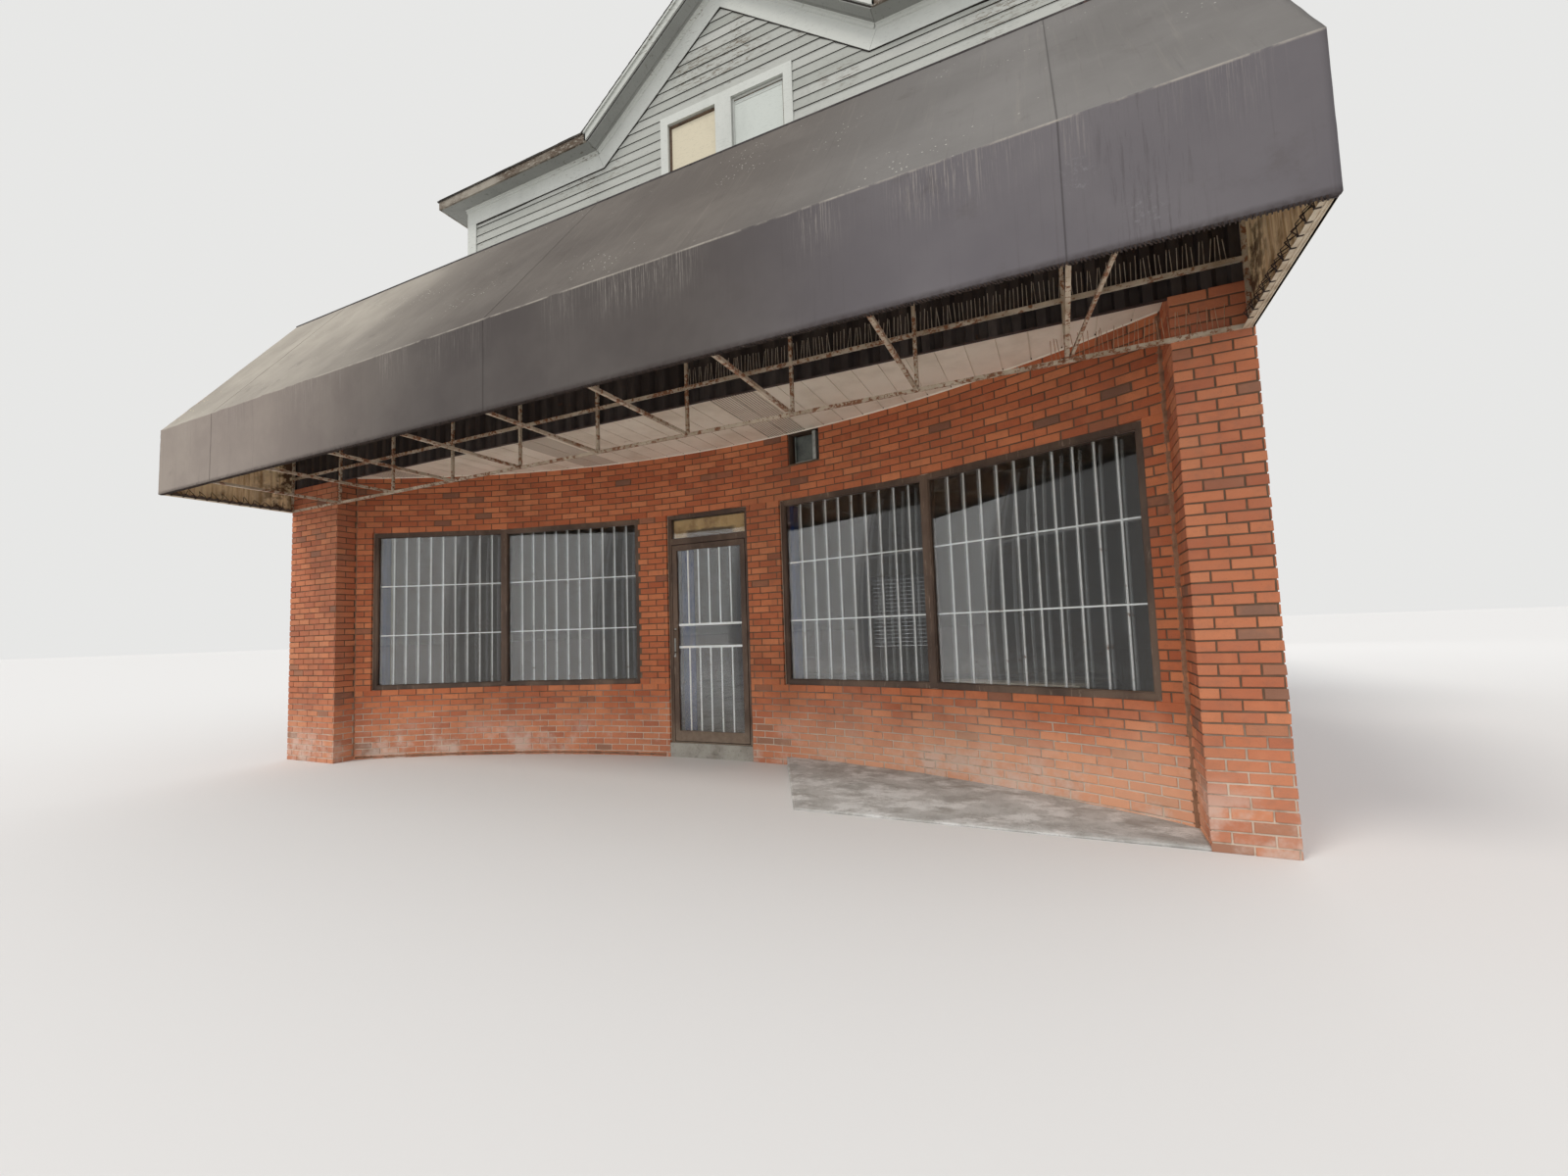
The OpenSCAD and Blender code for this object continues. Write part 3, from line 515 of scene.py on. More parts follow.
def mortar_paint(name, dark, pale, top):
    """Mortar: dark above a height and pale below it, the pale foot partly dust and partly painted light from the
    ground.
    """
    p = Paint(name, dark, Roughness=0.95, Specular_IOR_Level=0.15)
    height = p.maths("MULTIPLY_ADD", p.noise(3, 5, 0.6), 0.9, p.axis("Z"))
    # Pale below the height: dust, and painted light from the ground.
    p.layer(pale, p.band(height, top + 0.75, top))
    p.layer((122, 100, 80), p.spots(9, 0.5, 0.7, 5, 0.6), 0.5)
    return p.done(p.grain(180, 0.0015, 4, 0.7))


def bronze_paint():
    """Brown bronze anodising, chalked and scuffed."""
    p = Paint("bronze", (74, 58, 48), Metallic=0.2, Specular_IOR_Level=0.4)
    p.layer((108, 88, 73), p.spots(2.4, 0.38, 0.66, 5, 0.6, (1, 1, 0.35)))
    p.layer((166, 146, 126), p.spots(40, 0.58, 0.74, 5, 0.7, (1, 1, 0.15)), 0.5)
    p.layer((148, 132, 114), p.band(p.axis("Z"), 0.45, 0.16), p.noise(14, 3))
    return p.done(p.grain(90, 0.0003), Roughness=p.maths("MULTIPLY_ADD", p.noise(9, 3), 0.25, 0.36))


def glass_paint():
    """Old shop glass with a thin film of dust."""
    p = Paint("shop_glass", (236, 246, 250), Transmission_Weight=1.0, IOR=2.05, Roughness=0.0, Alpha=0.22)
    foot = p.times(p.band(p.axis("Z"), SILL_Z + 0.45, SILL_Z), p.noise(5))
    p.layer((220, 228, 230), p.maths("MAXIMUM", p.spots(2.2, 0.42, 0.8, 5, 0.7, (1, 1, 0.5)), foot))
    return p.set(Base_Color=p.colour)


def worn_paint(name, paint, dirty, metal, chipped, roughness, scale):
    """Painted steel with dirt and rust coming through."""
    p = Paint(name, paint)
    chips = p.maths("MULTIPLY_ADD", p.spots(3.1, 0.35, 0.65, 4), 0.10, p.noise(scale, 6, 0.7))
    rust = p.band(chips, chipped, chipped + 0.07)
    p.layer(dirty, p.spots(5, 0.35, 0.7, 4, 0.6))
    p.layer(p.mix(p.noise(60), metal, srgb(*metal, 0.6)), rust)
    height = p.maths("MULTIPLY_ADD", p.noise(120, 3), 0.4, p.times(rust, 0.6))
    return p.done(p.bump(height, 0.0008), Roughness=p.maths("MULTIPLY_ADD", rust, 0.35, roughness))


def fabric_paint():
    """Coated awning cloth: bleached, streaked down its fall, paler on the crease with wear and a painted highlight,
    and darker along the hem. Its colours also hold painted light: sunlight on the row's ends, shade in its middle and
    light from above on the sloping top.
    """
    p = Paint("awning_cloth", Roughness=0.85, Specular_IOR_Level=0.12)
    x, z = p.axis("X"), p.axis("Z")
    drift = p.spots(0.9, 0.36, 0.68, 5, 0.6)
    # right and left mask the row's two ends, whose paler colours are painted sunlight; the darker middle of the row
    # is painted shade.
    right, left = p.band(x, 1.6, 3.4), p.band(x, -0.2, -3.7)

    def shades(middle, right_end, left_end):
        """One face's colour, drifting between the two of each pair along the row: the middle's pair is painted shade
        and the ends' paler pairs are painted sunlight.
        """
        p.colour = p.mix(drift, *middle)
        p.layer(p.mix(drift, *right_end), right)
        p.layer(p.mix(drift, *left_end), left)
        return p.colour

    # The top's pairs are paler than the front's: painted light falling on the slope from above.
    front = shades(((78, 73, 71), (88, 83, 80)), ((97, 93, 96), (105, 101, 103)), ((134, 124, 117), (148, 138, 129)))
    top = shades(((94, 88, 83), (106, 100, 94)), ((108, 105, 102), (118, 115, 112)),
                 ((152, 145, 135), (172, 165, 153)))
    slope = p.band(z, VALANCE_HIGH.z - 0.002, VALANCE_HIGH.z + 0.004)
    slope = p.times(slope, p.band(p.tone("Red"), 0.9, 0.6))
    upright = p.inverse(slope)
    p.colour = p.mix(slope, front, top)
    p.layer((150, 143, 132), p.spots(1.0, 0.54, 0.74, 6, 0.7, (22, 0.8, 0.8)), slope, 0.16)
    near_crease = p.times(p.band(z, VALANCE_LOW.z + 0.30, VALANCE_HIGH.z), upright)
    clusters = p.spots(1.1, 0.44, 0.58, 3, 0.5, (1, 0, 0))
    p.layer((150, 143, 136), p.spots(1.0, 0.51, 0.63, 4, 0.8, (110, 3.0, 3.0)), near_crease, clusters, 0.6)
    p.layer((72, 66, 66), p.spots(1.0, 0.56, 0.72, 5, 0.7, (44, 1.2, 1.2)), 0.18)
    for seam in SEAMS:
        p.layer((52, 48, 46), p.band(p.off(x, seam + SEAM_HALF), 0.006, 0.002), 0.45)
    stains = p.spots(1.0, 0.50, 0.66, 5, 0.75, (52, 3.0, 3.0))
    p.layer((70, 65, 65), stains, p.band(p.off(x, 4.15), 0.34, 0.06), upright, 0.34)
    for mark in ((4.14, 3.10), (3.88, 3.36)):
        squares = [p.maths("POWER", p.maths("SUBTRACT", value, at), 2.0) for value, at in zip((x, z), mark)]
        p.layer((164, 164, 166), p.spots(38, 0.52, 0.66, 6, 0.8), p.band(p.maths("ADD", *squares), 0.012, 0.0), 0.16)
    p.layer((80, 74, 70), p.spots(2.3, 0.56, 0.72, 6, 0.7), 0.3)
    # A pale line along the crease: worn coating and a painted highlight on the fold.
    edge = p.band(p.off(z, VALANCE_HIGH.z), 0.012, 0.003)
    p.layer((172, 165, 154), edge, p.spots(5, 0.35, 0.6, 5, 0.7), 0.6)
    # Darker along the hem's lowest few centimetres.
    p.layer((56, 48, 46), p.band(z, VALANCE_LOW.z + 0.035, VALANCE_LOW.z), p.noise(30))
    p.layer((206, 202, 192), p.band(p.cells(24), 0.15, 0.09), p.spots(2.0, 0.55, 0.64, 4), slope, 0.8)
    weave = p.maths("ADD", p.noise(1.0, 2, 0.5, (900, 300, 300)), p.noise(1.0, 2, 0.5, (300, 900, 900)))
    return p.done(p.bump(weave, 0.0004, p.grain(4, 0.004, 5, 0.6)))


def lining_paint():
    """The cloth's inner side: yellowed, with drips and dark stains towards the wall."""
    p = Paint("awning_lining", (246, 226, 186), Roughness=0.8, Specular_IOR_Level=0.2)
    p.layer((206, 176, 134), p.spots(1.0, 0.42, 0.64, 5, 0.75, (16, 30, 1.6)))
    near_wall = p.band(p.axis("Y"), STREET_Y - 0.55, STREET_Y - 0.1)
    p.layer((92, 70, 52), near_wall, p.spots(7, 0.44, 0.60, 5, 0.7))
    p.layer((130, 100, 70), p.spots(3, 0.56, 0.75, 5, 0.6))
    return p.done(p.grain(1.0, 0.0025, 4, 0.6, (60, 60, 12)))


def ceiling_paint():
    """Satin cream panels: dusty, some of them perforated, with their holes painted as dark dots of shade."""
    p = Paint("ceiling_panel", (240, 232, 216), Roughness=0.5)
    p.layer((216, 206, 188), p.spots(2.5, 0.4, 0.75, 5, 0.6))
    p.layer((190, 178, 158), p.tone("Red"), 0.2)
    # The perforations are dark dots: painted shade inside the holes.
    dots = p.band(p.cells(8 / PANEL_W, stretch=(1, 1.35, 0), jitter=0.0), 0.40, 0.28)
    holes = p.times(dots, p.maths("GREATER_THAN", p.tone("Green"), 0.75))
    p.layer((84, 72, 58), holes, 0.9)
    p.layer((140, 112, 82), p.spots(6, 0.62, 0.75, 5, 0.7), 0.4)
    return p.done(p.bump(holes, -0.001))


def dark_metal_paint():
    """Dark brown sheet metal, dusty and rusting in spots."""
    p = Paint("dark_metal", (48, 42, 42), Roughness=0.55, Metallic=0.2)
    p.layer((78, 72, 70), p.spots(1.0, 0.42, 0.72, 5, 0.7, (3, 3, 0.8)))
    p.layer((96, 62, 44), p.spots(12, 0.62, 0.72, 5, 0.7), 0.6)
    return p.done(p.grain(60, 0.0005))


def boards_paint(name, paint, shade, bare, peeled, worn=0.5):
    """Old house paint on boards: a shade for each board, weather streaks and flakes off to grey wood."""
    p = Paint(name, paint, Roughness=0.7, Specular_IOR_Level=0.25)
    p.layer(shade, p.tone("Red"))
    p.layer(srgb(*shade, 0.72), p.spots(1.4, 0.48, 0.75, 5, 0.65, (1, 1, 0.4)), 0.35)
    grain = p.maths("MULTIPLY_ADD", p.tone("Green"), 0.10, p.noise(11, 6, 0.72, (1, 1, 5)))
    flakes = p.times(p.band(grain, peeled, peeled + 0.03), p.spots(1.3, worn - 0.06, worn + 0.12, 4, 0.6))
    p.layer(p.mix(p.noise(1.0, 5, 0.7, (18, 18, 160)), bare, srgb(*bare, 0.6)), flakes)
    p.layer(srgb(*shade, 0.42), p.spots(1.0, 0.58, 0.66, 5, 0.7, (16, 16, 190)), 0.45)
    under = p.bump(p.inverse(flakes), 0.0008)
    return p.done(p.grain(1.0, 0.0006, 4, 0.6, (20, 20, 220), under))


def shingle_paint():
    """Grey asphalt shingles, a shade for each tab, with dark streaks and moss."""
    p = Paint("asphalt_shingle", Roughness=0.95, Specular_IOR_Level=0.15)
    p.colour = p.ramp(p.tone("Red"), [(62, 58, 55), (84, 79, 74), (108, 101, 93)])
    p.layer((46, 44, 42), p.noise(240, 2), 0.6)
    p.layer((48, 48, 44), p.spots(0.7, 0.48, 0.72, 5, 0.6), 0.5)
    p.layer((88, 92, 60), p.spots(5, 0.64, 0.74, 5, 0.7), 0.5)
    return p.done(p.grain(300, 0.0015, 2))


def concrete_paint():
    """Weathered concrete with fine cracks and pits."""
    p = Paint("concrete", (168, 164, 154), Roughness=0.92, Specular_IOR_Level=0.2)
    p.layer((136, 130, 120), p.spots(3, 0.36, 0.7, 6, 0.65))
    p.layer((92, 88, 82), p.spots(40, 0.58, 0.7, 3), 0.4)
    cracks = p.times(p.band(p.cells(1.3, "DISTANCE_TO_EDGE"), 0.012, 0.002), p.spots(1.5, 0.45, 0.6, 3))
    p.layer((60, 56, 52), cracks, 0.7)
    return p.done(p.bump(cracks, -0.003, p.grain(35, 0.003, 5, 0.7)))


def apron_paint():
    """Old washed concrete: pale laitance on darker worn ground."""
    p = Paint("apron_concrete", (186, 184, 180), Roughness=0.9, Specular_IOR_Level=0.2)
    p.layer((160, 157, 152), p.spots(4, 0.4, 0.65, 6, 0.7))
    p.layer((216, 215, 212), p.spots(2.6, 0.47, 0.60, 6, 0.68, (1, 1.6, 1)), 0.8)
    p.layer((124, 116, 106), p.spots(60, 0.60, 0.70, 3), 0.4)
    p.layer((138, 132, 124), p.spots(1.0, 0.54, 0.64, 6, 0.7, (2.2, 6, 1)), 0.5)
    return p.done(p.grain(70, 0.004, 5, 0.75))


def film_paint():
    """Gold-brown film behind the glass over the door, gone dark in the middle."""
    p = Paint("yellowed_card", (196, 164, 112), Roughness=0.5)
    p.layer((156, 124, 80), p.spots(7, 0.4, 0.65, 4, 0.6))
    height = p.maths("MULTIPLY_ADD", p.noise(12, 5, 0.7), 0.06, p.axis("Z"))
    low = p.band(height, TRANSOM_Z + 0.13, TRANSOM_Z + 0.10)
    p.layer((70, 54, 36), low, p.band(p.off(p.axis("X"), 0.24), 0.34, 0.26), 0.85)
    return p.set(Base_Color=p.colour)


def felt_paint():
    """Roofing felt, dark and mineral, with the pale marks of dried puddles."""
    p = Paint("roof_felt", (98, 96, 92), Roughness=0.95, Specular_IOR_Level=0.15)
    p.layer((70, 68, 66), p.spots(1.2, 0.4, 0.7, 5, 0.6))
    p.layer((132, 126, 114), p.spots(0.6, 0.55, 0.60, 3), 0.4)
    p.layer((54, 52, 50), p.noise(260, 2), 0.4)
    return p.done(p.grain(240, 0.0012, 2))


def plain_paint(name, base, second, roughness=0.7, scale=8, depth=0.0006, metallic=0.0):
    """Two shades of one colour in patches, with a fine grain."""
    p = Paint(name, base, Roughness=roughness, Metallic=metallic)
    p.layer(second, p.spots(scale, 0.4, 0.7, 5, 0.65))
    return p.done(p.grain(scale * 12, depth))


FACE_BRICK = brick_paint(
    "face_brick", [(166, 90, 60), (180, 102, 68), (188, 110, 73), (200, 124, 84)], (122, 88, 72), 0.6, 0.3)
COMMON_BRICK = brick_paint(
    "common_brick", [(128, 84, 68), (142, 94, 76), (152, 104, 84), (164, 120, 100)], (104, 80, 70), 0.5, 0.4)
FACE_MORTAR = mortar_paint("face_mortar", (104, 84, 68), (204, 188, 170), 0.62)
COMMON_MORTAR = mortar_paint("common_mortar", (138, 126, 114), (166, 156, 142), 0.5)
BRONZE = bronze_paint()
BARS = worn_paint("grille_white", (248, 249, 246), (234, 234, 228), (150, 96, 66), 0.68, 0.35, 20)
TUBES = worn_paint("frame_rust", (196, 182, 162), (160, 142, 120), (146, 100, 72), 0.55, 0.5, 26)
CLOTH, LINING = fabric_paint(), lining_paint()
CEILING, FASCIA = ceiling_paint(), dark_metal_paint()
CLAPBOARD = boards_paint("clapboard", (180, 181, 175), (159, 161, 154), (134, 126, 114), 0.61)
TRIM = boards_paint("trim", (198, 200, 194), (182, 184, 178), (136, 128, 116), 0.62)
SOFFIT = boards_paint("soffit_board", (152, 153, 149), (136, 137, 132), (112, 104, 94), 0.66)
FASCIA_BOARD = boards_paint("fascia_board", (172, 166, 155), (146, 139, 127), (98, 84, 71), 0.48, 0.42)
CREAM_BOARD = boards_paint("cream_board", (206, 197, 174), (192, 183, 158), (150, 130, 102), 0.66)
WHITE_BOARD = boards_paint("white_board", (202, 206, 200), (188, 193, 187), (150, 140, 126), 0.70)
SHINGLE, FELT = shingle_paint(), felt_paint()
CAULK = plain_paint("caulk", (186, 166, 146), (150, 126, 106), 0.7, 12)
CRUMBLED = plain_paint("crumbled_mortar", (152, 112, 86), (118, 88, 68), 0.9, 16, 0.003)
NEEDLE = plain_paint("spike_wire", (206, 196, 180), (158, 140, 122), 0.5, 20, 0.0002)
RUSTY_NEEDLE = plain_paint("rusty_wire", (196, 158, 128), (160, 118, 92), 0.6, 20, 0.0002)
CORD = plain_paint("lacing_cord", (62, 50, 44), (38, 30, 27), 0.9, 30)
HEM = plain_paint("hem_strip", (206, 194, 172), (176, 160, 136), 0.7, 9)
SLEEVE = plain_paint("vent_sleeve", (104, 110, 106), (74, 80, 78), 0.5, 7)
PALE_METAL = plain_paint("pale_metal", (176, 180, 176), (146, 148, 142), 0.4, 10, 0.0003, 0.3)
# Dark paint: painted shade under the board butts and the frieze, and the frieze's dark mitre lines.
UNDERSIDE_SHADE_AND_GAPS = plain_paint("underside_shade_and_gaps", (54, 50, 46), (36, 34, 31), 0.9, 6)
STAIN = plain_paint("stained_stile", (104, 84, 66), (70, 56, 46), 0.8, 14)
APRON, FILM = apron_paint(), film_paint()
BLUE = plain_paint("blue_lining", (36, 60, 112), (26, 44, 86), 0.5, 6)
BLIND = plain_paint("blind", (92, 90, 84), (70, 68, 64), 0.85, 3)

SLOT_FINISH = {
    "face_brick": FACE_MORTAR, "common_brick": COMMON_MORTAR, "concrete": concrete_paint(), "bronze_metal": BRONZE,
    "shop_glass": glass_paint(), "white_bars": BARS, "awning_tube": TUBES, "awning_fabric": CLOTH,
    "ceiling_panel": CEILING, "fascia_metal": FASCIA, "flat_roofing": FELT, "siding": CLAPBOARD, "trim_paint": TRIM,
    "window_board": CREAM_BOARD, "shingle": SHINGLE,
}


def finish_cad_nodes():
    """Each CAD node takes its slot's finish; the eaves are boarded under."""
    for part in frame["record"]["subparts"]:
        name = part["node"]
        mesh = frame["nodes"][name].data
        mesh.materials.clear()
        mesh.materials.append(SOFFIT if name == "eaves" else SLOT_FINISH[part["material_slot"]])


# Brickwork


def shopfront_bricks():
    """The bow's street face, round its windows, door and vent."""
    holes = [(LEFT_S0, LEFT_S2, SILL_Z, HEAD_Z), (DOOR_S0, DOOR_S1, 0, HEAD_Z), (RIGHT_S0, RIGHT_S2, SILL_Z, HEAD_Z),
             (VENT_S0, VENT_S0 + VENT_W, CEILING_Z - VENT_H, CEILING_Z)]
    shape = Shape()
    lay_bricks(shape, Bow(), bond(BOW_S0 + 0.004, BOW_S1 - 0.004, 0, CEILING_Z, holes), FRAME_SET, 0.04)
    shape.build("bow_bricks", [FACE_BRICK], "face_brick")


def pier_bricks():
    """The piers' street faces up to the fascia, and their sides, which go on behind it."""
    notch = (0, BEAM_LOW.y - STREET_Y, FASCIA_Z, BEAM_LOW.z + COURSE)
    shape = Shape()
    for x0, x1, inner, out in ((-HALF_W, PIER_X[0], PIER_X[0], 1), (PIER_X[1], HALF_W, PIER_X[1], -1)):
        lay_bricks(shape, facing(STREET_Y, -1, x0), bond(-PROUD, x1 - x0 + PROUD, 0, FASCIA_Z))
        reach = float(Bow().place(arc_s(inner), 0, 0)[1]) - STREET_Y
        lay_bricks(shape, sideways(inner, out, STREET_Y), bond(0, reach, 0, CEILING_Z, [notch], BRICK_L / 2))
    for x, out in ((-HALF_W, -1), (HALF_W, 1)):
        side = bond(0, PIER_HIGH.y - STREET_Y, 0, BEAM_LOW.z, [notch], BRICK_L / 2)
        lay_bricks(shape, sideways(x, out, STREET_Y), side)
    shape.build("pier_bricks", [FACE_BRICK], "face_brick")


def party_bricks(name, x, out):
    """A party wall's outer face, with the ends of the beam, slabs and parapet."""
    beam = BEAM_LOW.y - STREET_Y
    holes = [(0, PIER_HIGH.y - STREET_Y, 0, BEAM_LOW.z), (0, beam, BEAM_LOW.z, SLAB_TOP)]
    shape = Shape()
    for bricks in (bond(0, BACK_Y - STREET_Y + PROUD, 0, SLAB_TOP, holes),
                   bond(beam, HOUSE_LOW.y - STREET_Y, SLAB_TOP, PARAPET_Z)):
        lay_bricks(shape, sideways(x, out, STREET_Y), bricks, burnt=0.10, chamfer=0.002)
    shape.build(name, [COMMON_BRICK], "common_brick")


def back_bricks():
    """The back wall's face round its window, and the blind behind the glass."""
    wall = facing(BACK_Y, 1, -HALF_W)
    hole = (HALF_W - BACK_WINDOW_W / 2, HALF_W + BACK_WINDOW_W / 2, SILL_Z, HEAD_Z)
    shape, blind = Shape(), Shape()
    lay_bricks(shape, wall, bond(0, 2 * HALF_W, 0, SLAB_TOP, [hole]), burnt=0.10, chamfer=0.002)
    shape.build("back_bricks", [COMMON_BRICK], "common_brick")
    slats, pitch, slat_h, inset = 18, 0.10, 0.096, 0.055
    for k in range(slats):
        z = SILL_Z + 0.06 + k * pitch
        slab(blind, wall, hole[0] + inset, hole[1] - inset, z, z + slat_h, -0.150, -0.140, chamfer=0.003)
    blind.build("window_blind", [BLIND], "window_board")


# House


def board_rows(shape, wall, z0, z1, span, holes):
    """Lapped boards from z0 up. span(z) gives the run's two ends at a height."""
    row, gap, clear = 0, 0.001, 0.005
    while z0 + row * EXPOSURE < z1 - 0.01:
        low, high = z0 + row * EXPOSURE, min(z0 + (row + 1) * EXPOSURE, z1)
        row += 1
        bottom, top = span(low), span(high)
        if bottom[1] - bottom[0] < 0.05:
            continue
        middle = (bottom[0] + bottom[1]) / 2
        left, right = middle, middle
        if top[1] - top[0] > 0.02:
            left, right = max(bottom[0], top[0]), min(bottom[1], top[1])
        pieces, start = [], (bottom[0], left)
        for a, b, *_ in sorted(h for h in holes if h[2] < high - clear and h[3] > low + clear):
            pieces.append((start, (a, a)))
            start = (b, b)
        pieces.append((start, (bottom[1], right)))
        for (a0, a1), (b0, b1) in pieces:
            joints = [a0]
            while b0 - joints[-1] > LONGEST_BOARD:
                joints.append(joints[-1] + RNG.uniform(2.2, 3.8))
            for k, (u0, u1) in enumerate(zip(joints, joints[1:] + [b0])):
                t0 = a1 if k == 0 else u0
                t1 = b1 if k == len(joints) - 1 else u1
                one_board(shape, wall, (u0 + gap, u1 - gap), (t0 + gap, t1 - gap), low, high)


def one_board(shape, wall, bottom, top, low, high):
    """A wedge board whose lower edge stands off the wall, a little warped along its run, its butt's underside dark as
    painted shade.
    """
    if bottom[1] - bottom[0] < 0.02:
        return
    steps = max(1, int((bottom[1] - bottom[0]) / 0.5))
    t = np.linspace(0, 1, steps + 1)
    u_low, u_high = bottom[0] + t * (bottom[1] - bottom[0]), top[0] + t * max(0.0, top[1] - top[0])
    butt = BUTT + np.clip(RNG.normal(0, 0.0012, steps + 1), -0.002, 0.003)
    z_low = low + np.clip(RNG.normal(0, 0.0010, steps + 1), -0.0015, 0.002)
    z_high, thin = high + 0.004, 0.003
    points = np.stack([wall.place(u_low, z_low, 0), wall.place(u_low, z_low, butt),
                       wall.place(u_high, z_high, thin), wall.place(u_high, z_high, 0)], 1)
    cuts = range(0, 4 * steps, 4)
    # The butt's underside faces take slot 1, the dark paint of painted shade under each board.
    under = [(a, a + 4, a + 5, a + 1) for a in cuts]
    rest = [face for a in cuts for face in ((a + 1, a + 5, a + 6, a + 2), (a + 2, a + 6, a + 7, a + 3))]
    end = 4 * steps
    rest += [(0, 1, 2, 3), (end + 3, end + 2, end + 1, end)]
    shape.add(points, turned(under + rest, wall.mirrored), RNG.random(3))
    shape.slots[-len(under + rest):] = [1] * len(under) + [0] * len(rest)


def house_boards():
    """Clapboards on the four walls, round the window casings and up the gable."""
    casing_low, casing_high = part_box("window_casings")
    casing_x = (casing_low.x + 0.03, casing_high.x - 0.03)
    across = (HOUSE_LOW.x + CORNER_W, HOUSE_HIGH.x - CORNER_W)
    along = (HOUSE_LOW.y + CORNER_W, HOUSE_BACK_Y - CORNER_W)

    def front(z):
        half = (RAKE_PEAK - z) / math.tan(GABLE_PITCH)
        return across if z <= FRIEZE_Z + 1e-6 else (GABLE_X - half, GABLE_X + half)

    for name, wall, top, span, holes in (
            ("front", facing(HOUSE_LOW.y, -1), RAKE_PEAK - 0.02, front,
             [(*casing_x, casing_high.z - CASING_H, casing_high.z)]),
            ("back", facing(HOUSE_BACK_Y, 1), FRIEZE_Z, lambda z: across,
             [(*casing_x, casing_low.z, casing_low.z + CASING_H)]),
            ("left", sideways(HOUSE_LOW.x, -1), FRIEZE_Z, lambda z: along, []),
            ("right", sideways(HOUSE_HIGH.x, 1), FRIEZE_Z, lambda z: along, [])):
        shape = Shape()
        board_rows(shape, wall, SLAB_TOP, top, span, holes)
        shape.build(name + "_clapboards", [CLAPBOARD, UNDERSIDE_SHADE_AND_GAPS], "siding")


def tabs(shape, origin, along, up, length, height, lines):
    """Shingle tabs on a roof plane. Each polygon is cut to the lines and raised to a wedge."""
    origin, along, up = (np.array(v, float) for v in (origin, along, up))
    normal = np.cross(along, up)
    row, gap, thin = 0, 0.003, 0.0015
    while row * SHINGLE_EXPOSURE < height:
        low = row * SHINGLE_EXPOSURE - (SHINGLE_OUT if row == 0 else 0)
        high = (row + 1) * SHINGLE_EXPOSURE + 0.010
        deep = 0.012 if row == 0 else 0.001
        shift = (row % 2) * SHINGLE_W / 2 + RNG.uniform(-0.02, 0.02)
        for k in range(-1, int(length / SHINGLE_W) + 2):
            a, b = k * SHINGLE_W - shift + gap, (k + 1) * SHINGLE_W - shift - gap
            butt = low + RNG.uniform(-0.004, 0.004)
            polygon = clipped([(a, butt), (b, butt), (b, high), (a, high)], lines)
            if len(polygon) < 3:
                continue
            lift = 0.0075 + RNG.uniform(-0.001, 0.002)
            flat = [(origin + u * along + v * up, v) for u, v in polygon]
            points = [p + (lift + (thin - lift) * (v - low) / (high - low)) * normal for p, v in flat]
            points += [p - deep * (v < 0.01) * normal - 0.001 * normal for p, v in flat]
            n = len(polygon)
            faces = [tuple(range(n))] + [(n + i, n + (i + 1) % n, (i + 1) % n, i) for i in range(n)]
            shape.add(points, faces, RNG.random(3))
        row += 1


CAP_FACES = [(0, 1, 4, 3), (1, 2, 5, 4), (6, 9, 10, 7), (7, 10, 11, 8), (0, 6, 7, 1), (1, 7, 8, 2),
             (3, 4, 10, 9), (4, 5, 11, 10), (0, 3, 9, 6), (2, 8, 11, 5)]


def caps(shape, start, end, left, right, spread=None):
    """Folded shingles over a hip or ridge. left and right run down each slope from it."""
    start, end, left, right = (np.array(v, float) for v in (start, end, left, right))
    length = np.linalg.norm(end - start)
    along = (end - start) / length
    top = -(left + right)
    top /= np.linalg.norm(top)
    for k in range(int(length / SHINGLE_EXPOSURE)):
        wide = CAP_W + RNG.uniform(-0.004, 0.004)
        points = []
        for level in (0.0, -0.005):
            for run, lift in ((k * SHINGLE_EXPOSURE, 0.016), ((k + 1) * SHINGLE_EXPOSURE + 0.02, 0.009)):
                w = min(wide, spread(run)) if spread else wide
                for side in (left * w, np.zeros(3), right * w):
                    points.append(start + along * run + side + top * (lift + level))
        shape.add(points, CAP_FACES, RNG.random(3))


def main_shingles():
    """The four hipped slopes; the front one is cut at the gable's valleys."""
    c, s = math.cos(ROOF_PITCH), math.sin(ROOF_PITCH)
    run_t, gable_t = math.tan(ROOF_PITCH), math.tan(GABLE_PITCH)
    x0, x1, y0, y1 = ROOF_LOW.x, ROOF_HIGH.x, ROOF_LOW.y, ROOF_HIGH.y
    w, d = x1 - x0, y1 - y0
    rise, middle, height = w / 2 / c, GABLE_X - x0, GABLE_HIGH.z - EDGE_Z

    def hips(span):
        return [(-1, c, 0), (1, c, span), (0, 1, rise)]

    shape = Shape()
    for side in (1, -1):
        cut = [(side, 0, side * middle), (side * gable_t, -run_t * c, side * middle * gable_t - height)]
        tabs(shape, (x0, y0, EDGE_Z), (1, 0, 0), (0, c, s), w, rise, hips(w) + cut)
    tabs(shape, (x1, y1, EDGE_Z), (-1, 0, 0), (0, -c, s), w, rise, hips(w))
    shape.build("front_back_shingles", [SHINGLE], "shingle")

    shape = Shape()
    tabs(shape, (x0, y1, EDGE_Z), (0, -1, 0), (c, 0, s), d, rise, hips(d))
    tabs(shape, (x1, y0, EDGE_Z), (0, 1, 0), (-c, 0, s), d, rise, hips(d))
    shape.build("side_shingles", [SHINGLE], "shingle")

    shape = Shape()
    front, back = (((x0 + x1) / 2, y, EDGE_Z + w / 2 * run_t) for y in (y0 + w / 2, y1 - w / 2))
    to_front, to_back, to_left, to_right = (0, -c, -s), (0, c, -s), (-c, 0, -s), (c, 0, -s)
    for x, y, end, left, right in ((x0, y0, front, to_left, to_front), (x1, y0, front, to_front, to_right),
                                   (x1, y1, back, to_right, to_back), (x0, y1, back, to_back, to_left)):
        caps(shape, (x, y, EDGE_Z), end, left, right, lambda run: 0.045 + 0.75 * run)
    caps(shape, front, back, to_left, to_right)
    shape.build("hip_caps", [SHINGLE], "shingle")


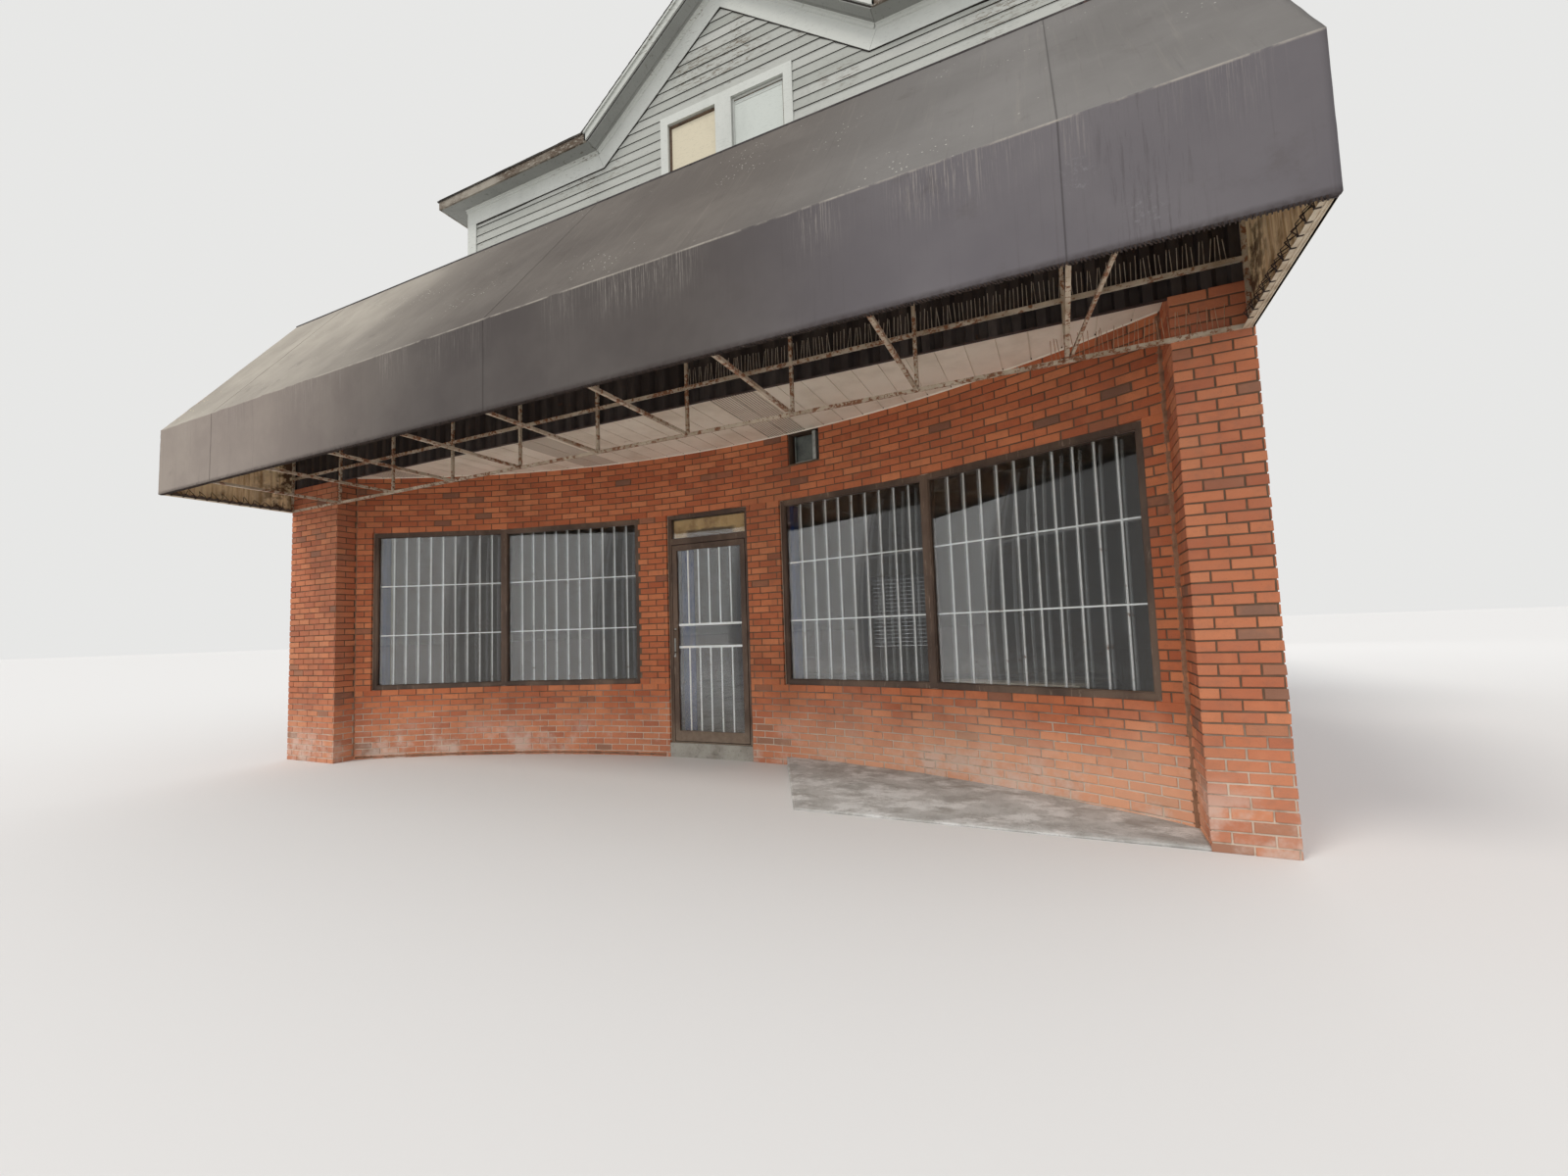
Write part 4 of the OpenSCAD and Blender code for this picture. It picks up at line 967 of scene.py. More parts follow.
def gable_shingles():
    """The gable's two slopes, cut at the valleys, and its ridge."""
    c, s, run_t = math.cos(GABLE_PITCH), math.sin(GABLE_PITCH), math.tan(ROOF_PITCH)
    depth, rise = (GABLE_HIGH.z - EDGE_Z) / run_t, GABLE_HALF / c
    y0, out = GABLE_LOW.y, 0.045
    shape = Shape()
    tabs(shape, (GABLE_LOW.x, y0 + depth, EDGE_Z), (0, -1, 0), (c, 0, s), depth + out, rise,
         [(-run_t, -s, -depth * run_t), (1, 0, depth + out), (0, 1, rise)])
    tabs(shape, (GABLE_HIGH.x, y0, EDGE_Z), (0, 1, 0), (-c, 0, s), depth, rise,
         [(run_t, -s, 0), (-1, 0, out), (0, 1, rise)])
    caps(shape, (GABLE_X, y0 - out, GABLE_HIGH.z), (GABLE_X, y0 + depth, GABLE_HIGH.z), (-c, 0, -s), (c, 0, -s))
    shape.build("gable_shingles", [SHINGLE], "shingle")


def roof_trim():
    """Weathered fascia boards on the level eaves and paler barge boards up the gable."""
    t, longest = 0.022, 3.2
    x0, x1, y0, y1 = ROOF_LOW.x, ROOF_HIGH.x, ROOF_LOW.y, ROOF_HIGH.y
    front, back, left, right = facing(y0, -1), facing(y1, 1), sideways(x0, -1), sideways(x1, 1)
    shape, barges = Shape(), Shape()
    for wall, u0, u1 in ((front, x0 - t, GABLE_X - UNDER_HALF - 0.02), (front, GABLE_X + UNDER_HALF + 0.02, x1 + t),
                         (back, x0 - t, x1 + t), (left, y0, y1), (right, y0, y1)):
        count = max(1, round((u1 - u0) / longest))
        for k in range(count):
            a, b = (u0 + (u1 - u0) * (k + i) / count for i in (0, 1))
            slab(shape, wall, a + 0.001, b - 0.001, EAVES_Z - 0.010, EAVES_Z + ROOF_T - 0.020, 0, t,
                 (RNG.random(), 0.5, 0.5), chamfer=0.003)
    shape.build("roof_fascia", [FASCIA_BOARD], "trim_paint")
    for side in (-1, 1):
        foot, peak = (Vector(p) for p in ((GABLE_X + side * GABLE_HALF, y0, EDGE_Z), (GABLE_X, y0, GABLE_HIGH.z)))
        top = Vector((0, 0, 0.010))
        for low, out in ((Vector((0, 0, 0.150)), t), (Vector((0, 0, 0.048)), 0.040)):
            prism(barges, [foot - top, peak - top, peak - low, foot - low], (0, -out, 0))
    barges.build("barge_boards", [TRIM], "trim_paint")


def soffit_boards():
    """Wide boards under the eaves, mitred at the corners, and up the gable's overhang."""
    x0, x1, y0, y1 = ROOF_LOW.x, ROOF_HIGH.x, ROOF_LOW.y, ROOF_HIGH.y
    a0, a1, b0, b1 = HOUSE_LOW.x - TRIM_T, HOUSE_HIGH.x + TRIM_T, HOUSE_LOW.y - TRIM_T, HOUSE_BACK_Y + TRIM_T
    gap, mitre, board_t = 0.002, 0.004, 0.007
    left, right = GABLE_X - UNDER_HALF, GABLE_X + UNDER_HALF
    shape = Shape()
    for outline in (((x0, y0), (left - gap, y0), (left - gap, b0), (a0, b0)),
                    ((right + gap, y0), (x1, y0), (a1, b0), (right + gap, b0)),
                    ((x0, y1), (x1, y1), (a1, b1), (a0, b1)),
                    ((x0, y0 + mitre), (a0, b0 + mitre), (a0, b1 - mitre), (x0, y1 - mitre)),
                    ((x1, y0 + mitre), (a1, b0 + mitre), (a1, b1 - mitre), (x1, y1 - mitre))):
        prism(shape, [(x, y, EAVES_Z) for x, y in outline], (0, 0, -board_t))
    for side, x in ((-1, left), (1, right)):
        away = Vector((-side * math.sin(GABLE_PITCH), 0, -math.cos(GABLE_PITCH))) * board_t
        for near, far in ((y0, y0 + 0.135), (y0 + 0.139, b0)):
            prism(shape, [(x, near, EAVES_Z), (GABLE_X, near, GABLE_UNDER), (GABLE_X, far, GABLE_UNDER),
                          (x, far, EAVES_Z)], away)
    shape.build("soffit_boards", [SOFFIT], "trim_paint")


def soffit_moulding():
    """A bed moulding where the soffit meets the frieze, all round and up the gable; a dark strip under the frieze,
    which is painted shade with some dirt; and dark mitre lines across the frieze.
    """
    shape, frieze_shade_and_mitres = Shape(), Shape()
    section = [(0, 0), (0.045, 0), (0.040, -0.012), (0.022, -0.020), (0.012, -0.042), (0, -0.050)]
    y, back_y, z = HOUSE_LOW.y - TRIM_T, HOUSE_BACK_Y + TRIM_T, EAVES_Z
    back_left, left, right, back_right = ((x, at, z) for x, at in (
        (HOUSE_LOW.x - TRIM_T, back_y), (HOUSE_LOW.x - TRIM_T, y), (HOUSE_HIGH.x + TRIM_T, y),
        (HOUSE_HIGH.x + TRIM_T, back_y)))
    low_left, low_right = ((GABLE_X + side * UNDER_HALF, y, z) for side in (-1, 1))
    peak = (GABLE_X, y, GABLE_UNDER)
    for run in ((back_left, left), (left, low_left), (low_right, right), (right, back_right),
                (back_right, back_left), (low_left, peak), (peak, low_right)):
        sweep(shape, run, section)
    shape.build("soffit_moulding", [TRIM], "trim_paint")
    face, low = HOUSE_LOW.y, FRIEZE_Z
    foot = (RAKE_PEAK - low) / math.tan(GABLE_PITCH)
    edge = [(HOUSE_LOW.x + CORNER_W, face, low), (GABLE_X - foot, face, low), (GABLE_X, face, RAKE_PEAK),
            (GABLE_X + foot, face, low), (HOUSE_HIGH.x - CORNER_W, face, low)]
    # A dark strip under the frieze's lower edge: painted shade of the frieze, with some dirt.
    for run in zip(edge, edge[1:]):
        sweep(frieze_shade_and_mitres, run, [(0.002, 0.001), (0.022, 0.001), (0.022, -0.008), (0.002, -0.008)])
    for side in (-1, 1):
        high, deep = GABLE_X + side * UNDER_HALF, GABLE_X + side * foot
        prism(frieze_shade_and_mitres, [(high - 0.001, y, z - 0.05), (high + 0.001, y, z - 0.05), (deep + 0.001, y, low),
                     (deep - 0.001, y, low)], (0, -0.0008, 0))
    frieze_shade_and_mitres.build("frieze_shade_and_mitre_lines", [UNDERSIDE_SHADE_AND_GAPS], "trim_paint")


# Awning


def folds(x, t, size):
    """Stretch folds that fan out from the frame's corners, the deepest at the left end."""
    wave = np.sin(38 * x + 22 * t) * np.exp(-((x % BAY_W - 0.12) / 0.16) ** 2)
    wave += 0.7 * np.sin(27 * x - 31 * t + 2) * np.exp(-((x % BAY_W - 0.83) / 0.14) ** 2)
    across, down = x + HALF_W, 2.1 * (1 - t)
    wave += 2.6 * np.sin(26 * np.arctan2(down, across + 0.05)) * np.exp(-((across ** 2 + down ** 2) / 1.1))
    return size * wave * (0.35 + 0.65 * t)


def awning_cover():
    """One cloth from the wall, over the crease and down the front, wrapped round the lower tube."""
    top_y, top_z = STREET_Y, AWNING_TOP_Z
    front_y, crease_z, low_z = VALANCE_LOW.y, VALANCE_HIGH.z, VALANCE_LOW.z
    slope_n = np.array((0, -(top_z - crease_z), (top_y - front_y)))
    slope_n = slope_n / np.linalg.norm(slope_n)
    x = np.linspace(-HALF_W, HALF_W, 30 * BAYS + 1)
    edges = np.array((-SEAM_HALF - 0.001, -SEAM_HALF + 0.0005, SEAM_HALF - 0.0005, SEAM_HALF + 0.001))
    x = np.unique(np.concatenate([x] + [s + edges for s in SEAMS]))
    lap = np.where(np.min([np.abs(x - s) for s in SEAMS], 0) < SEAM_HALF, 0.0016, 0.0)
    bay = np.clip((x + HALF_W - TUBE / 2) / ((2 * HALF_W - TUBE) / BAYS), 0, BAYS)
    between = np.sin(np.pi * (bay % 1.0)) ** 2

    def row(y, z):
        return np.column_stack([x, np.full_like(x, y), z + 0 * x])

    points, offsets = [], []
    for t in [*np.linspace(0, 0.985, 44), 0.996, 1.0]:
        hang = 0.021 * between * math.sin(math.pi * max(0.0, t - 0.02) / 0.98) ** 0.6
        ripple = 0.0022 * np.sin(5.1 * x + 9 * t) * np.sin(21 * t + 1.7 * x) + folds(x, t, 0.0030)
        low = hang + np.abs(ripple) * math.sin(math.pi * t) ** 0.4 - lap * (0.02 < t < 0.99)
        base = row(top_y + t * (front_y - top_y), top_z + t * (crease_z - top_z))
        points.append(base - np.maximum(low, -0.0016)[:, None] * slope_n)
        offsets.append(slope_n)
    offsets[-1] = (slope_n + (0, -1.0, 0)) / np.linalg.norm(slope_n + (0, -1.0, 0))
    for t in [0.010, *np.linspace(0.05, 1, 21)]:
        hang = 0.006 * between * math.sin(math.pi * t) ** 0.7
        ripple = 0.0013 * np.sin(3.3 * x + 4 * t) + folds(x, 1 - t, 0.0016)
        base = row(front_y, crease_z + t * (low_z - crease_z))
        base[:, 1] += hang + np.abs(ripple) * math.sin(math.pi * t) ** 0.4 - lap * (t < 1)
        points.append(base)
        offsets.append((0, -1.0, 0))
    tooth = RNG.uniform(0.2, 1.0, len(x))
    for dy, dz, up in ((0.002, -0.0035, 0), (0.018, -0.0045, 0), (0.031, -0.002, 0), (0.033, 0.020, 0.014)):
        points.append(row(front_y + dy, low_z + dz + up * tooth))
        offsets.append((0, 1.0, 0) if up else (0, 0, -1.0))
    outer = np.array(points)
    shape = Shape()
    closed_sheet(shape, outer, outer - CLOTH_T * np.array(offsets)[:, None, :], inner_slot=1)
    piece = shape.build("awning_cover", [CLOTH, LINING], "awning_fabric",
                        replaces=["awning_slope", "awning_valance"], smooth=True)


def awning_end(name, x, out):
    """An end panel, stretched in its frame, its lower edge laced round the arm."""
    top_y, top_z = STREET_Y, AWNING_TOP_Z
    front_y, crease_z, low_z = VALANCE_LOW.y + 0.003, VALANCE_HIGH.z - 0.004, VALANCE_LOW.z
    rows, columns = 44, 34
    t, s = np.meshgrid(np.arange(rows + 1) / rows, np.arange(columns + 1) / columns, indexing="ij")
    belly = 0.011 * np.sin(np.pi * s) ** 0.7 * np.sin(np.pi * t) ** 0.7
    belly += 0.0016 * np.sin(9 * s + 13 * t) * np.sin(np.pi * t)
    high = crease_z + s * (top_z - 0.006 - crease_z)
    panel = np.stack([x - out * belly, front_y + s * (top_y - front_y), low_z + t * (high - low_z)], -1)
    run, tooth = np.linspace(front_y + 0.03, top_y - 0.03, columns + 1), np.arange(columns + 1) % 2
    hem = [np.column_stack([np.full_like(run, x - out * dx), run, low_z + dz + up * tooth]) for dx, dz, up in
           ((0.033, 0.024, 0.02), (0.032, -0.001, 0), (0.020, -0.004, 0), (0.004, -0.004, 0))]
    outer = np.concatenate([hem, panel])
    inner = outer.copy()
    inner[0, :, 0] += out * CLOTH_T
    inner[1:len(hem), :, 2] += CLOTH_T
    inner[len(hem):, :, 0] -= out * CLOTH_T
    if out < 0:
        outer, inner = outer[:, ::-1], inner[:, ::-1]
    shape = Shape()
    closed_sheet(shape, outer, inner, tone=(1, 1, 1), inner_slot=1)
    piece = shape.build(name, [CLOTH, LINING], "awning_fabric", replaces=["awning_ends"], smooth=True)


def lacing():
    """Dark cord wound closely round the lower tube, and zigzag cord down the end panels' hems."""
    shape, hems = Shape(), Shape()
    y, z = VALANCE_LOW.y + 0.0155, VALANCE_LOW.z + 0.0105
    for k in range(int(2 * HALF_W / LACE_PITCH) - 2):
        x = -HALF_W + 0.02 + k * LACE_PITCH + RNG.uniform(-0.003, 0.003)
        lean, low = RNG.uniform(0.002, 0.010), 0.019 + RNG.uniform(0, 0.006)
        path = [(x - lean, y - 0.013, z - 0.014), (x, y - 0.002, z - low), (x + lean, y + 0.0185, z - 0.016),
                (x + 1.5 * lean, y + 0.0205, z + 0.022)]
        sweep(shape, path, square(RNG.uniform(0.0022, 0.0036)), up=(1, 0, 0))
    low_z, front, back, cord = VALANCE_LOW.z, VALANCE_LOW.y + 0.040, STREET_Y - 0.03, square(0.0019)
    inner, outer = HALF_W - 0.062, HALF_W - 0.003
    for side in (-1, 1):
        hem = Wall((0, 0, low_z), (0, 1, 0), (side, 0, 0))
        slab(hems, hem, front, back, -0.004, -0.0005, inner, outer, (0.4, 0.5, 0.5))
        for off in (0.024, 0.040):
            slab(hems, hem, front, back, -0.0070, -0.0035, inner + off, inner + off + 0.006)
        for k in range(int((back - front) / EYELET_PITCH)):
            y = front + 0.04 + k * EYELET_PITCH
            eyelet = (side * (inner - 0.002), y, low_z - 0.003)
            slab(shape, hem, y - 0.004, y + 0.004, -0.0075, -0.003, inner - 0.008, inner + 0.020, chamfer=0.002)
            for step in (-0.45 * EYELET_PITCH, 0.5 * EYELET_PITCH):
                high = (side * (HALF_W - 0.018), y + step, low_z + 0.085 + RNG.uniform(-0.02, 0.025))
                half = (side * (inner - 0.016), y + 0.5 * step + RNG.uniform(-0.008, 0.008), low_z + 0.040)
                sweep(shape, [eyelet, half, high], cord, up=(1, 0, 0))
    hems.build("end_hems", [HEM], "awning_fabric")
    shape.build("awning_lacing", [CORD], "awning_fabric")


def awning_top_bar():
    """The dark flat bar and screws that hold the cloth's top edge, and the brace in the last bay."""
    shape, brace = Shape(), Shape()
    wall, z = facing(STREET_Y - 0.006, -1), AWNING_TOP_Z - 0.022
    slab(shape, wall, -HALF_W, HALF_W, z, z + 0.020, -0.004, 0.008, chamfer=0.001)
    screws, pitch, r = 32, 0.30, 0.006
    for k in range(screws):
        x = -HALF_W + pitch / 2 + k * pitch
        slab(shape, wall, x - r, x + r, z + 0.004, z + 0.016, 0.006, 0.012, chamfer=0.002)
    near, far = STREET_Y - 0.004, BEAM_LOW.y
    for side in (-1, 1):
        outer, inner = side * HALF_W, side * (HALF_W - 0.003)
        prism(shape, [(outer, near, FASCIA_Z), (outer, far, FASCIA_Z), (inner, far, FASCIA_Z),
                      (inner, near, FASCIA_Z)], (0, 0, AWNING_TOP_Z - 0.03 - FASCIA_Z))
    x0, x1, y0, y1 = *PIER_X, STREET_Y, BEAM_LOW.y - 0.008
    prism(shape, [(x0, y0, FASCIA_Z), (x1, y0, FASCIA_Z), (x1, y1, FASCIA_Z), (x0, y1, FASCIA_Z)], (0, 0, -0.005))
    shape.build("awning_top_bar", [FASCIA], "fascia_metal")
    sweep(brace, [(3.844, STREET_Y - TUBE, 2.984), (4.030, VALANCE_LOW.y + 0.02, 2.990)], square(0.009))
    brace.build("awning_brace", [TUBES], "awning_tube")


def needles(name, x0, x1, z, paint):
    """A row of bird spikes on a wall tube."""
    shape, y, r = Shape(), STREET_Y - TUBE / 2, 0.0024
    slab(shape, facing(y, -1), x0, x1, z, z + 0.003, -0.010, 0.010)
    for k in range(int((x1 - x0) / SPIKE_PITCH) - 1):
        x = x0 + 0.02 + k * SPIKE_PITCH
        lean_x, lean_y = RNG.normal(0, 0.008), (-1) ** k * 0.010 + RNG.normal(0, 0.003)
        height = 0.150 + RNG.uniform(-0.018, 0.010)
        base = [(x + r * math.cos(a), y + r * math.sin(a), z + 0.002) for a in (0.5, 2.6, 4.7)]
        tip = [(p[0] + lean_x, p[1] + lean_y, z + height) for p in base]
        shape.add(base + tip, [(0, 1, 4, 3), (1, 2, 5, 4), (2, 0, 3, 5), (3, 4, 5), (2, 1, 0)])
    shape.build(name, [paint], "awning_tube")


# Recess and shopfront details


def circle(radius, angles):
    """Points round a circle, as pairs."""
    return [(radius * math.cos(a), radius * math.sin(a)) for a in angles]


def ceiling_panels():
    """Panels across the recess with open grooves between them, each cut to the bow, and a thin edge trim."""
    shape, nails, trim = Shape(), Shape(), Shape()
    x0, x1 = PIER_X
    grooves = [GROOVE_X - PANEL_W * k for k in range(-1, math.ceil((GROOVE_X - x0) / PANEL_W) + 1)]
    front, groove, panel_t = BEAM_LOW.y + 0.002, 0.0045, 0.008
    for k, (right, left) in enumerate(zip(grooves, grooves[1:])):
        a, b = max(left + groove, x0), min(right - groove, x1)
        if b - a < 0.02:
            continue
        xs = np.linspace(a, b, 4)
        reach = [float(Bow().place(arc_s(x), 0, 0.003)[1]) for x in xs]
        low = CEILING_Z - panel_t + RNG.uniform(-0.0010, 0.0010)
        lower = [(x, front, low) for x in xs] + [(x, y, low) for x, y in zip(xs[::-1], reach[::-1])]
        pierced = 1.0 if (k - 1) in PIERCED else 0.0
        prism(shape, lower, (0, 0, CEILING_Z - low), (RNG.random(), pierced, RNG.random()))
        for y in (front + 0.10, reach[0] - 0.030):
            ring = [(left + dx, y + dy, CEILING_Z - 0.001) for dx, dy in circle(0.005, NAIL_ANGLES)]
            prism(nails, ring, (0, 0, -0.009))
    shape.build("ceiling_panels", [CEILING], "ceiling_panel")
    nails.build("ceiling_nails", [STAIN], "ceiling_panel")
    path = [Bow().place(s, CEILING_Z - panel_t, PROUD) for s in np.linspace(BOW_S0 + 0.01, BOW_S1 - 0.01, 61)]
    sweep(trim, path, [(0, 0.002), (0, -0.009), (0.006, -0.007), (0.009, 0.002)])
    trim.build("ceiling_trim", [CEILING], "ceiling_panel")


def ragged(shape, wall, points, across, width, depth):
    """A hand-run bead along points (u, z) on a wall, a little uneven. across is the way of its width."""
    du, dz = across
    verts = []
    for u, z in points:
        w, d = width * RNG.uniform(0.7, 1.3), depth * RNG.uniform(0.7, 1.2)
        verts += [wall.place(u - du * w / 2, z - dz * w / 2, 0.0), wall.place(u, z, d),
                  wall.place(u + du * w / 2, z + dz * w / 2, 0.0)]
    last = len(verts)
    faces = [face for a in range(0, last - 3, 3) for face in
             ((a, a + 3, a + 4, a + 1), (a + 1, a + 4, a + 5, a + 2), (a + 2, a + 5, a + 3, a))]
    shape.add(verts, faces + [(0, 1, 2), (last - 1, last - 2, last - 3)])


def caulk_lines():
    """Thin sealant round the frames, crumbling mortar in the corners at the piers and a fillet at the foot."""
    shape, corners = Shape(), Shape()
    wall, inset, bead = Bow(FRAME_SET), 0.003, (0.008, 0.005)
    for s0, s1, z0 in ((LEFT_S0, LEFT_S2, SILL_Z), (DOOR_S0, DOOR_S1, THRESHOLD_Z), (RIGHT_S0, RIGHT_S2, SILL_Z)):
        steps = int((HEAD_Z - z0) / BEAD_STEP)
        for s in (s0 + inset, s1 - inset):
            line = [(s, z0 + (HEAD_Z - z0) * i / steps) for i in range(steps + 1)]
            ragged(shape, wall, line, ALONG_U, *bead)
        steps = int((s1 - s0) / BEAD_STEP)
        for z in [HEAD_Z - inset] + ([z0 + inset] if z0 == SILL_Z else []):
            line = [(s0 + (s1 - s0) * i / steps, z) for i in range(steps + 1)]
            ragged(shape, wall, line, ALONG_Z, *bead)
    shape.build("caulk_lines", [CAULK], "face_brick")
    for s, width in ((BOW_S0 + 0.010, 0.022), (BOW_S1 - 0.020, 0.044)):
        ragged(corners, Bow(), [(s, z) for z in np.arange(0.03, CEILING_Z - 0.01, 0.03)], ALONG_U, width, 0.012)
    foot = [(s, 0.024) for s in np.arange(BOW_S0 + 0.03, DOOR_S0 - 0.02, 0.04)]
    ragged(corners, Bow(), foot, ALONG_Z, 0.036, 0.018)
    corners.build("corner_mortar", [CRUMBLED], "face_brick")


def frame_details():
    """Glazing beads, blue linings behind the frames, the film over the door and the leaf's lock."""
    beads, linings, ledge, film, lock = (Shape() for _ in range(5))
    bead_w, post = 0.010, 0.035
    for s0, s1, s2 in WINDOWS:
        for a, b, left, right in ((s0, s1, FRAME_W, post), (s1, s2, post, FRAME_W)):
            chord = Chord(a, b)
            u0, u1, z0, z1 = left, chord.length - right, SILL_Z + FRAME_W, HEAD_Z - FRAME_W
            for box in ((u0, u0 + bead_w, z0, z1), (u1 - bead_w, u1, z0, z1), (u0, u1, z0, z0 + bead_w),
                        (u0, u1, z1 - bead_w, z1)):
                slab(beads, chord, *box, -0.022, -0.006, chamfer=0.002)
            u = 0.004 if a == s0 else chord.length - 0.016
            slab(linings, chord, u, u + 0.012, SILL_Z + 0.02, HEAD_Z - 0.02, -FRAME_D - 0.20, -FRAME_D)
            if a == s0:
                slab(linings, chord, u, u + 0.075, SILL_Z + 0.04, HEAD_Z - 0.03, -FRAME_D - 0.030, -FRAME_D - 0.018)
    door = Chord(DOOR_S0, DOOR_S1)
    slab(linings, door, 0.046, 0.200, THRESHOLD_Z + 0.02, TRANSOM_Z - 0.08, -FRAME_D - 0.115, -FRAME_D - 0.100)
    slab(ledge, Chord(*WINDOWS[1][1:]), 0.06, 1.15, SILL_Z + 0.048, SILL_Z + 0.062, -FRAME_D - 0.24,
         -FRAME_D - 0.06, chamfer=0.003)
    slab(film, door, 0.060, door.length - 0.060, TRANSOM_Z + 0.012, HEAD_Z - 0.058, -0.050, -0.046)
    beads.build("glazing_beads", [BRONZE], "bronze_metal")
    ledge.build("window_ledge", [HEM], "siding")
    linings.build("blue_linings", [BLUE], "siding")
    film.build("transom_film", [FILM], "window_board")
    rim = circle(0.011, np.arange(12) * math.pi / 6)
    ring = [door.place(0.082 + u, THRESHOLD_Z + 1.235 + z, 0.0005) for u, z in rim]
    prism(lock, ring, door.out * 0.006)
    slab(lock, door, 0.056, 0.078, THRESHOLD_Z + 0.93, THRESHOLD_Z + 1.135, 0.0, 0.003, chamfer=0.001)
    lock.build("lock_plate", [PALE_METAL], "bronze_metal", body="door")


def vent_details():
    """The metal sleeve that has slipped askew inside the vent."""
    chord, frame_w = Chord(VENT_S0, VENT_S0 + VENT_W), 0.012
    w, z0, z1 = chord.length, CEILING_Z - VENT_H + frame_w, CEILING_Z - frame_w
    left, back = 0.052, -0.068
    shape, pale = Shape(), Shape()
    slab(shape, chord, left, w - 0.020, z0 + 0.006, z1 - 0.018, -0.075, back, chamfer=0.004)
    slab(shape, chord, left, left + 0.010, z0 + 0.006, z1 - 0.018, -0.070, -0.030, chamfer=0.002)
    slab(pale, chord, w - 0.088, w - 0.052, z0 + 0.004, z1 - 0.010, back, 0.008, chamfer=0.003)
    slab(pale, chord, left + 0.010, w - 0.088, z0 + 0.004, z0 + 0.016, back, -0.020, chamfer=0.002)
    shape.build("vent_sleeve", [SLEEVE], "bronze_metal")
    pale.build("vent_flange", [PALE_METAL], "bronze_metal")


def sash_frames():
    """Thin stained sashes round the boards of the upper windows, front and back, with a dark strip under each head
    rail that is stain and painted shade.
    """
    low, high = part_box("window_boards")
    shift = (SASH_W + 2 * CASING_W) / 2
    frames, boards, stain_and_shade = Shape(), Shape(), Shape()
    w, sill, face = 0.024, 0.05, -0.030
    for wall, z1 in ((facing(HOUSE_LOW.y, -1), high.z),
                     (facing(HOUSE_BACK_Y, 1), high.z - (high.z - low.z - SASH_H))):
        for side in (-1, 1):
            middle = GABLE_X + side * shift
            u0, u1, z0 = middle - SASH_W / 2, middle + SASH_W / 2, z1 - SASH_H
            left, right, foot, head = u0 + w, u1 - w, z0 + sill, z1 - w
            for box in ((u0, left, z0, z1), (right, u1, z0, z1), (left, right, z0, foot), (left, right, head, z1)):
                slab(stain_and_shade if side < 0 else frames, wall, *box, face, face + 0.014, (RNG.random(), 0.5, 0.5),
                     chamfer=0.003)
            # A dark strip under the head rail: stain, and painted shade cast by the rail.
            slab(stain_and_shade, wall, left, right, head - 0.012, head - 0.004, face, face + 0.005)
            strip = (left, left + 0.007) if side < 0 else (right - 0.007, right)
            slab(stain_and_shade, wall, *strip, foot, head, face, face + 0.005)
            if side > 0:
                slab(boards, wall, left, right, foot, head - 0.012, face, face + 0.003)
                slab(frames, wall, left, right, head - 0.062, head - 0.050, face, face + 0.008, chamfer=0.002)
    frames.build("sash_frames", [TRIM], "trim_paint")
    stain_and_shade.build("stained_sashes_and_shade", [STAIN], "trim_paint")
    boards.build("white_window_boards", [WHITE_BOARD], "window_board")


def felt_roll(shape, x0, x1, y0, y1, thick):
    """One roll of felt, a little wavy."""
    ys, xs = np.linspace(y0, y1, max(6, int((y1 - y0) / 0.25)) + 1), np.linspace(x0, x1, 9)
    y, x = np.meshgrid(ys, xs, indexing="ij")
    top = np.stack([x, y, SLAB_TOP + thick + 0.0012 * np.sin(7 * x + 3 * y) * np.sin(5 * y)], -1)
    base = top.copy()
    base[..., 2] = SLAB_TOP - 0.001
    closed_sheet(shape, top, base)


def flat_roof():
    """Felt rolls behind the awning wall and on the ledges beside the house, with lapped seams."""
    shape = Shape()
    edge, roll, lap = 0.23, 0.98, 0.06
    x0, x1, y0, y1 = -HALF_W + edge, HALF_W - edge, BEAM_HIGH.y + 0.03, HOUSE_LOW.y - 0.002
    for k in range(math.ceil((x1 - x0) / roll)):
        felt_roll(shape, x0 + k * roll, min(x0 + (k + 1) * roll + lap, x1), y0, y1, 0.004 + (k % 2) * 0.003)
    gap = 0.002
    for a, b in ((-HALF_W + gap, HOUSE_LOW.x - gap), (HOUSE_HIGH.x + gap, HALF_W - gap)):
        felt_roll(shape, a, b, HOUSE_LOW.y, HOUSE_BACK_Y, 0.005)
    shape.build("roof_felt_rolls", [FELT], "flat_roofing")


def apron():
    """The worn concrete apron right of the door, its surface uneven and its street edge broken."""
    rows, columns = 60, 130
    low = 0.020
    drop = APRON_TOP_Z - low
    foot_x, head_x, end_x = 1.800, 1.126, PIER_X[1]
    points = np.zeros((rows + 1, columns + 1, 3))
    for j in range(columns + 1):
        u = j / columns
        foot = (foot_x + u * (end_x - foot_x), STREET_Y)
        wall_x = head_x + u * (end_x - head_x)
        head = (wall_x, BOW_Y + math.sqrt((BOW_R + 0.004) ** 2 - (wall_x - BOW_X) ** 2))
        for i in range(rows + 1):
            v = i / rows
            x, y = (a + v * (b - a) for a, b in zip(foot, head))
            bumps = noise.fractal(Vector((x * 2.2, y * 2.2, 0.3)), 0.9, 2.1, 5) * 0.006
            bumps += noise.fractal(Vector((x * 14, y * 14, 2.0)), 0.8, 2.0, 3) * 0.0012
            edge = min(v * rows, u * columns, 4) / 4
            worn = 0.010 * (1 - edge) * (0.6 + 0.8 * abs(noise.noise(Vector((x * 9, y * 9, 5.0)))))
            z = low + (y - STREET_Y) / BOW_DEPTH * drop * 1.03 + bumps - worn
            points[i, j] = (x, y, max(z, 0.003))
    base = points.copy()
    base[..., 2] = 0.0
    shape = Shape()
    closed_sheet(shape, points, base)
    shape.build("apron_surface", [APRON], "concrete", replaces=["concrete_apron"], smooth=True)


# Stage, light and camera


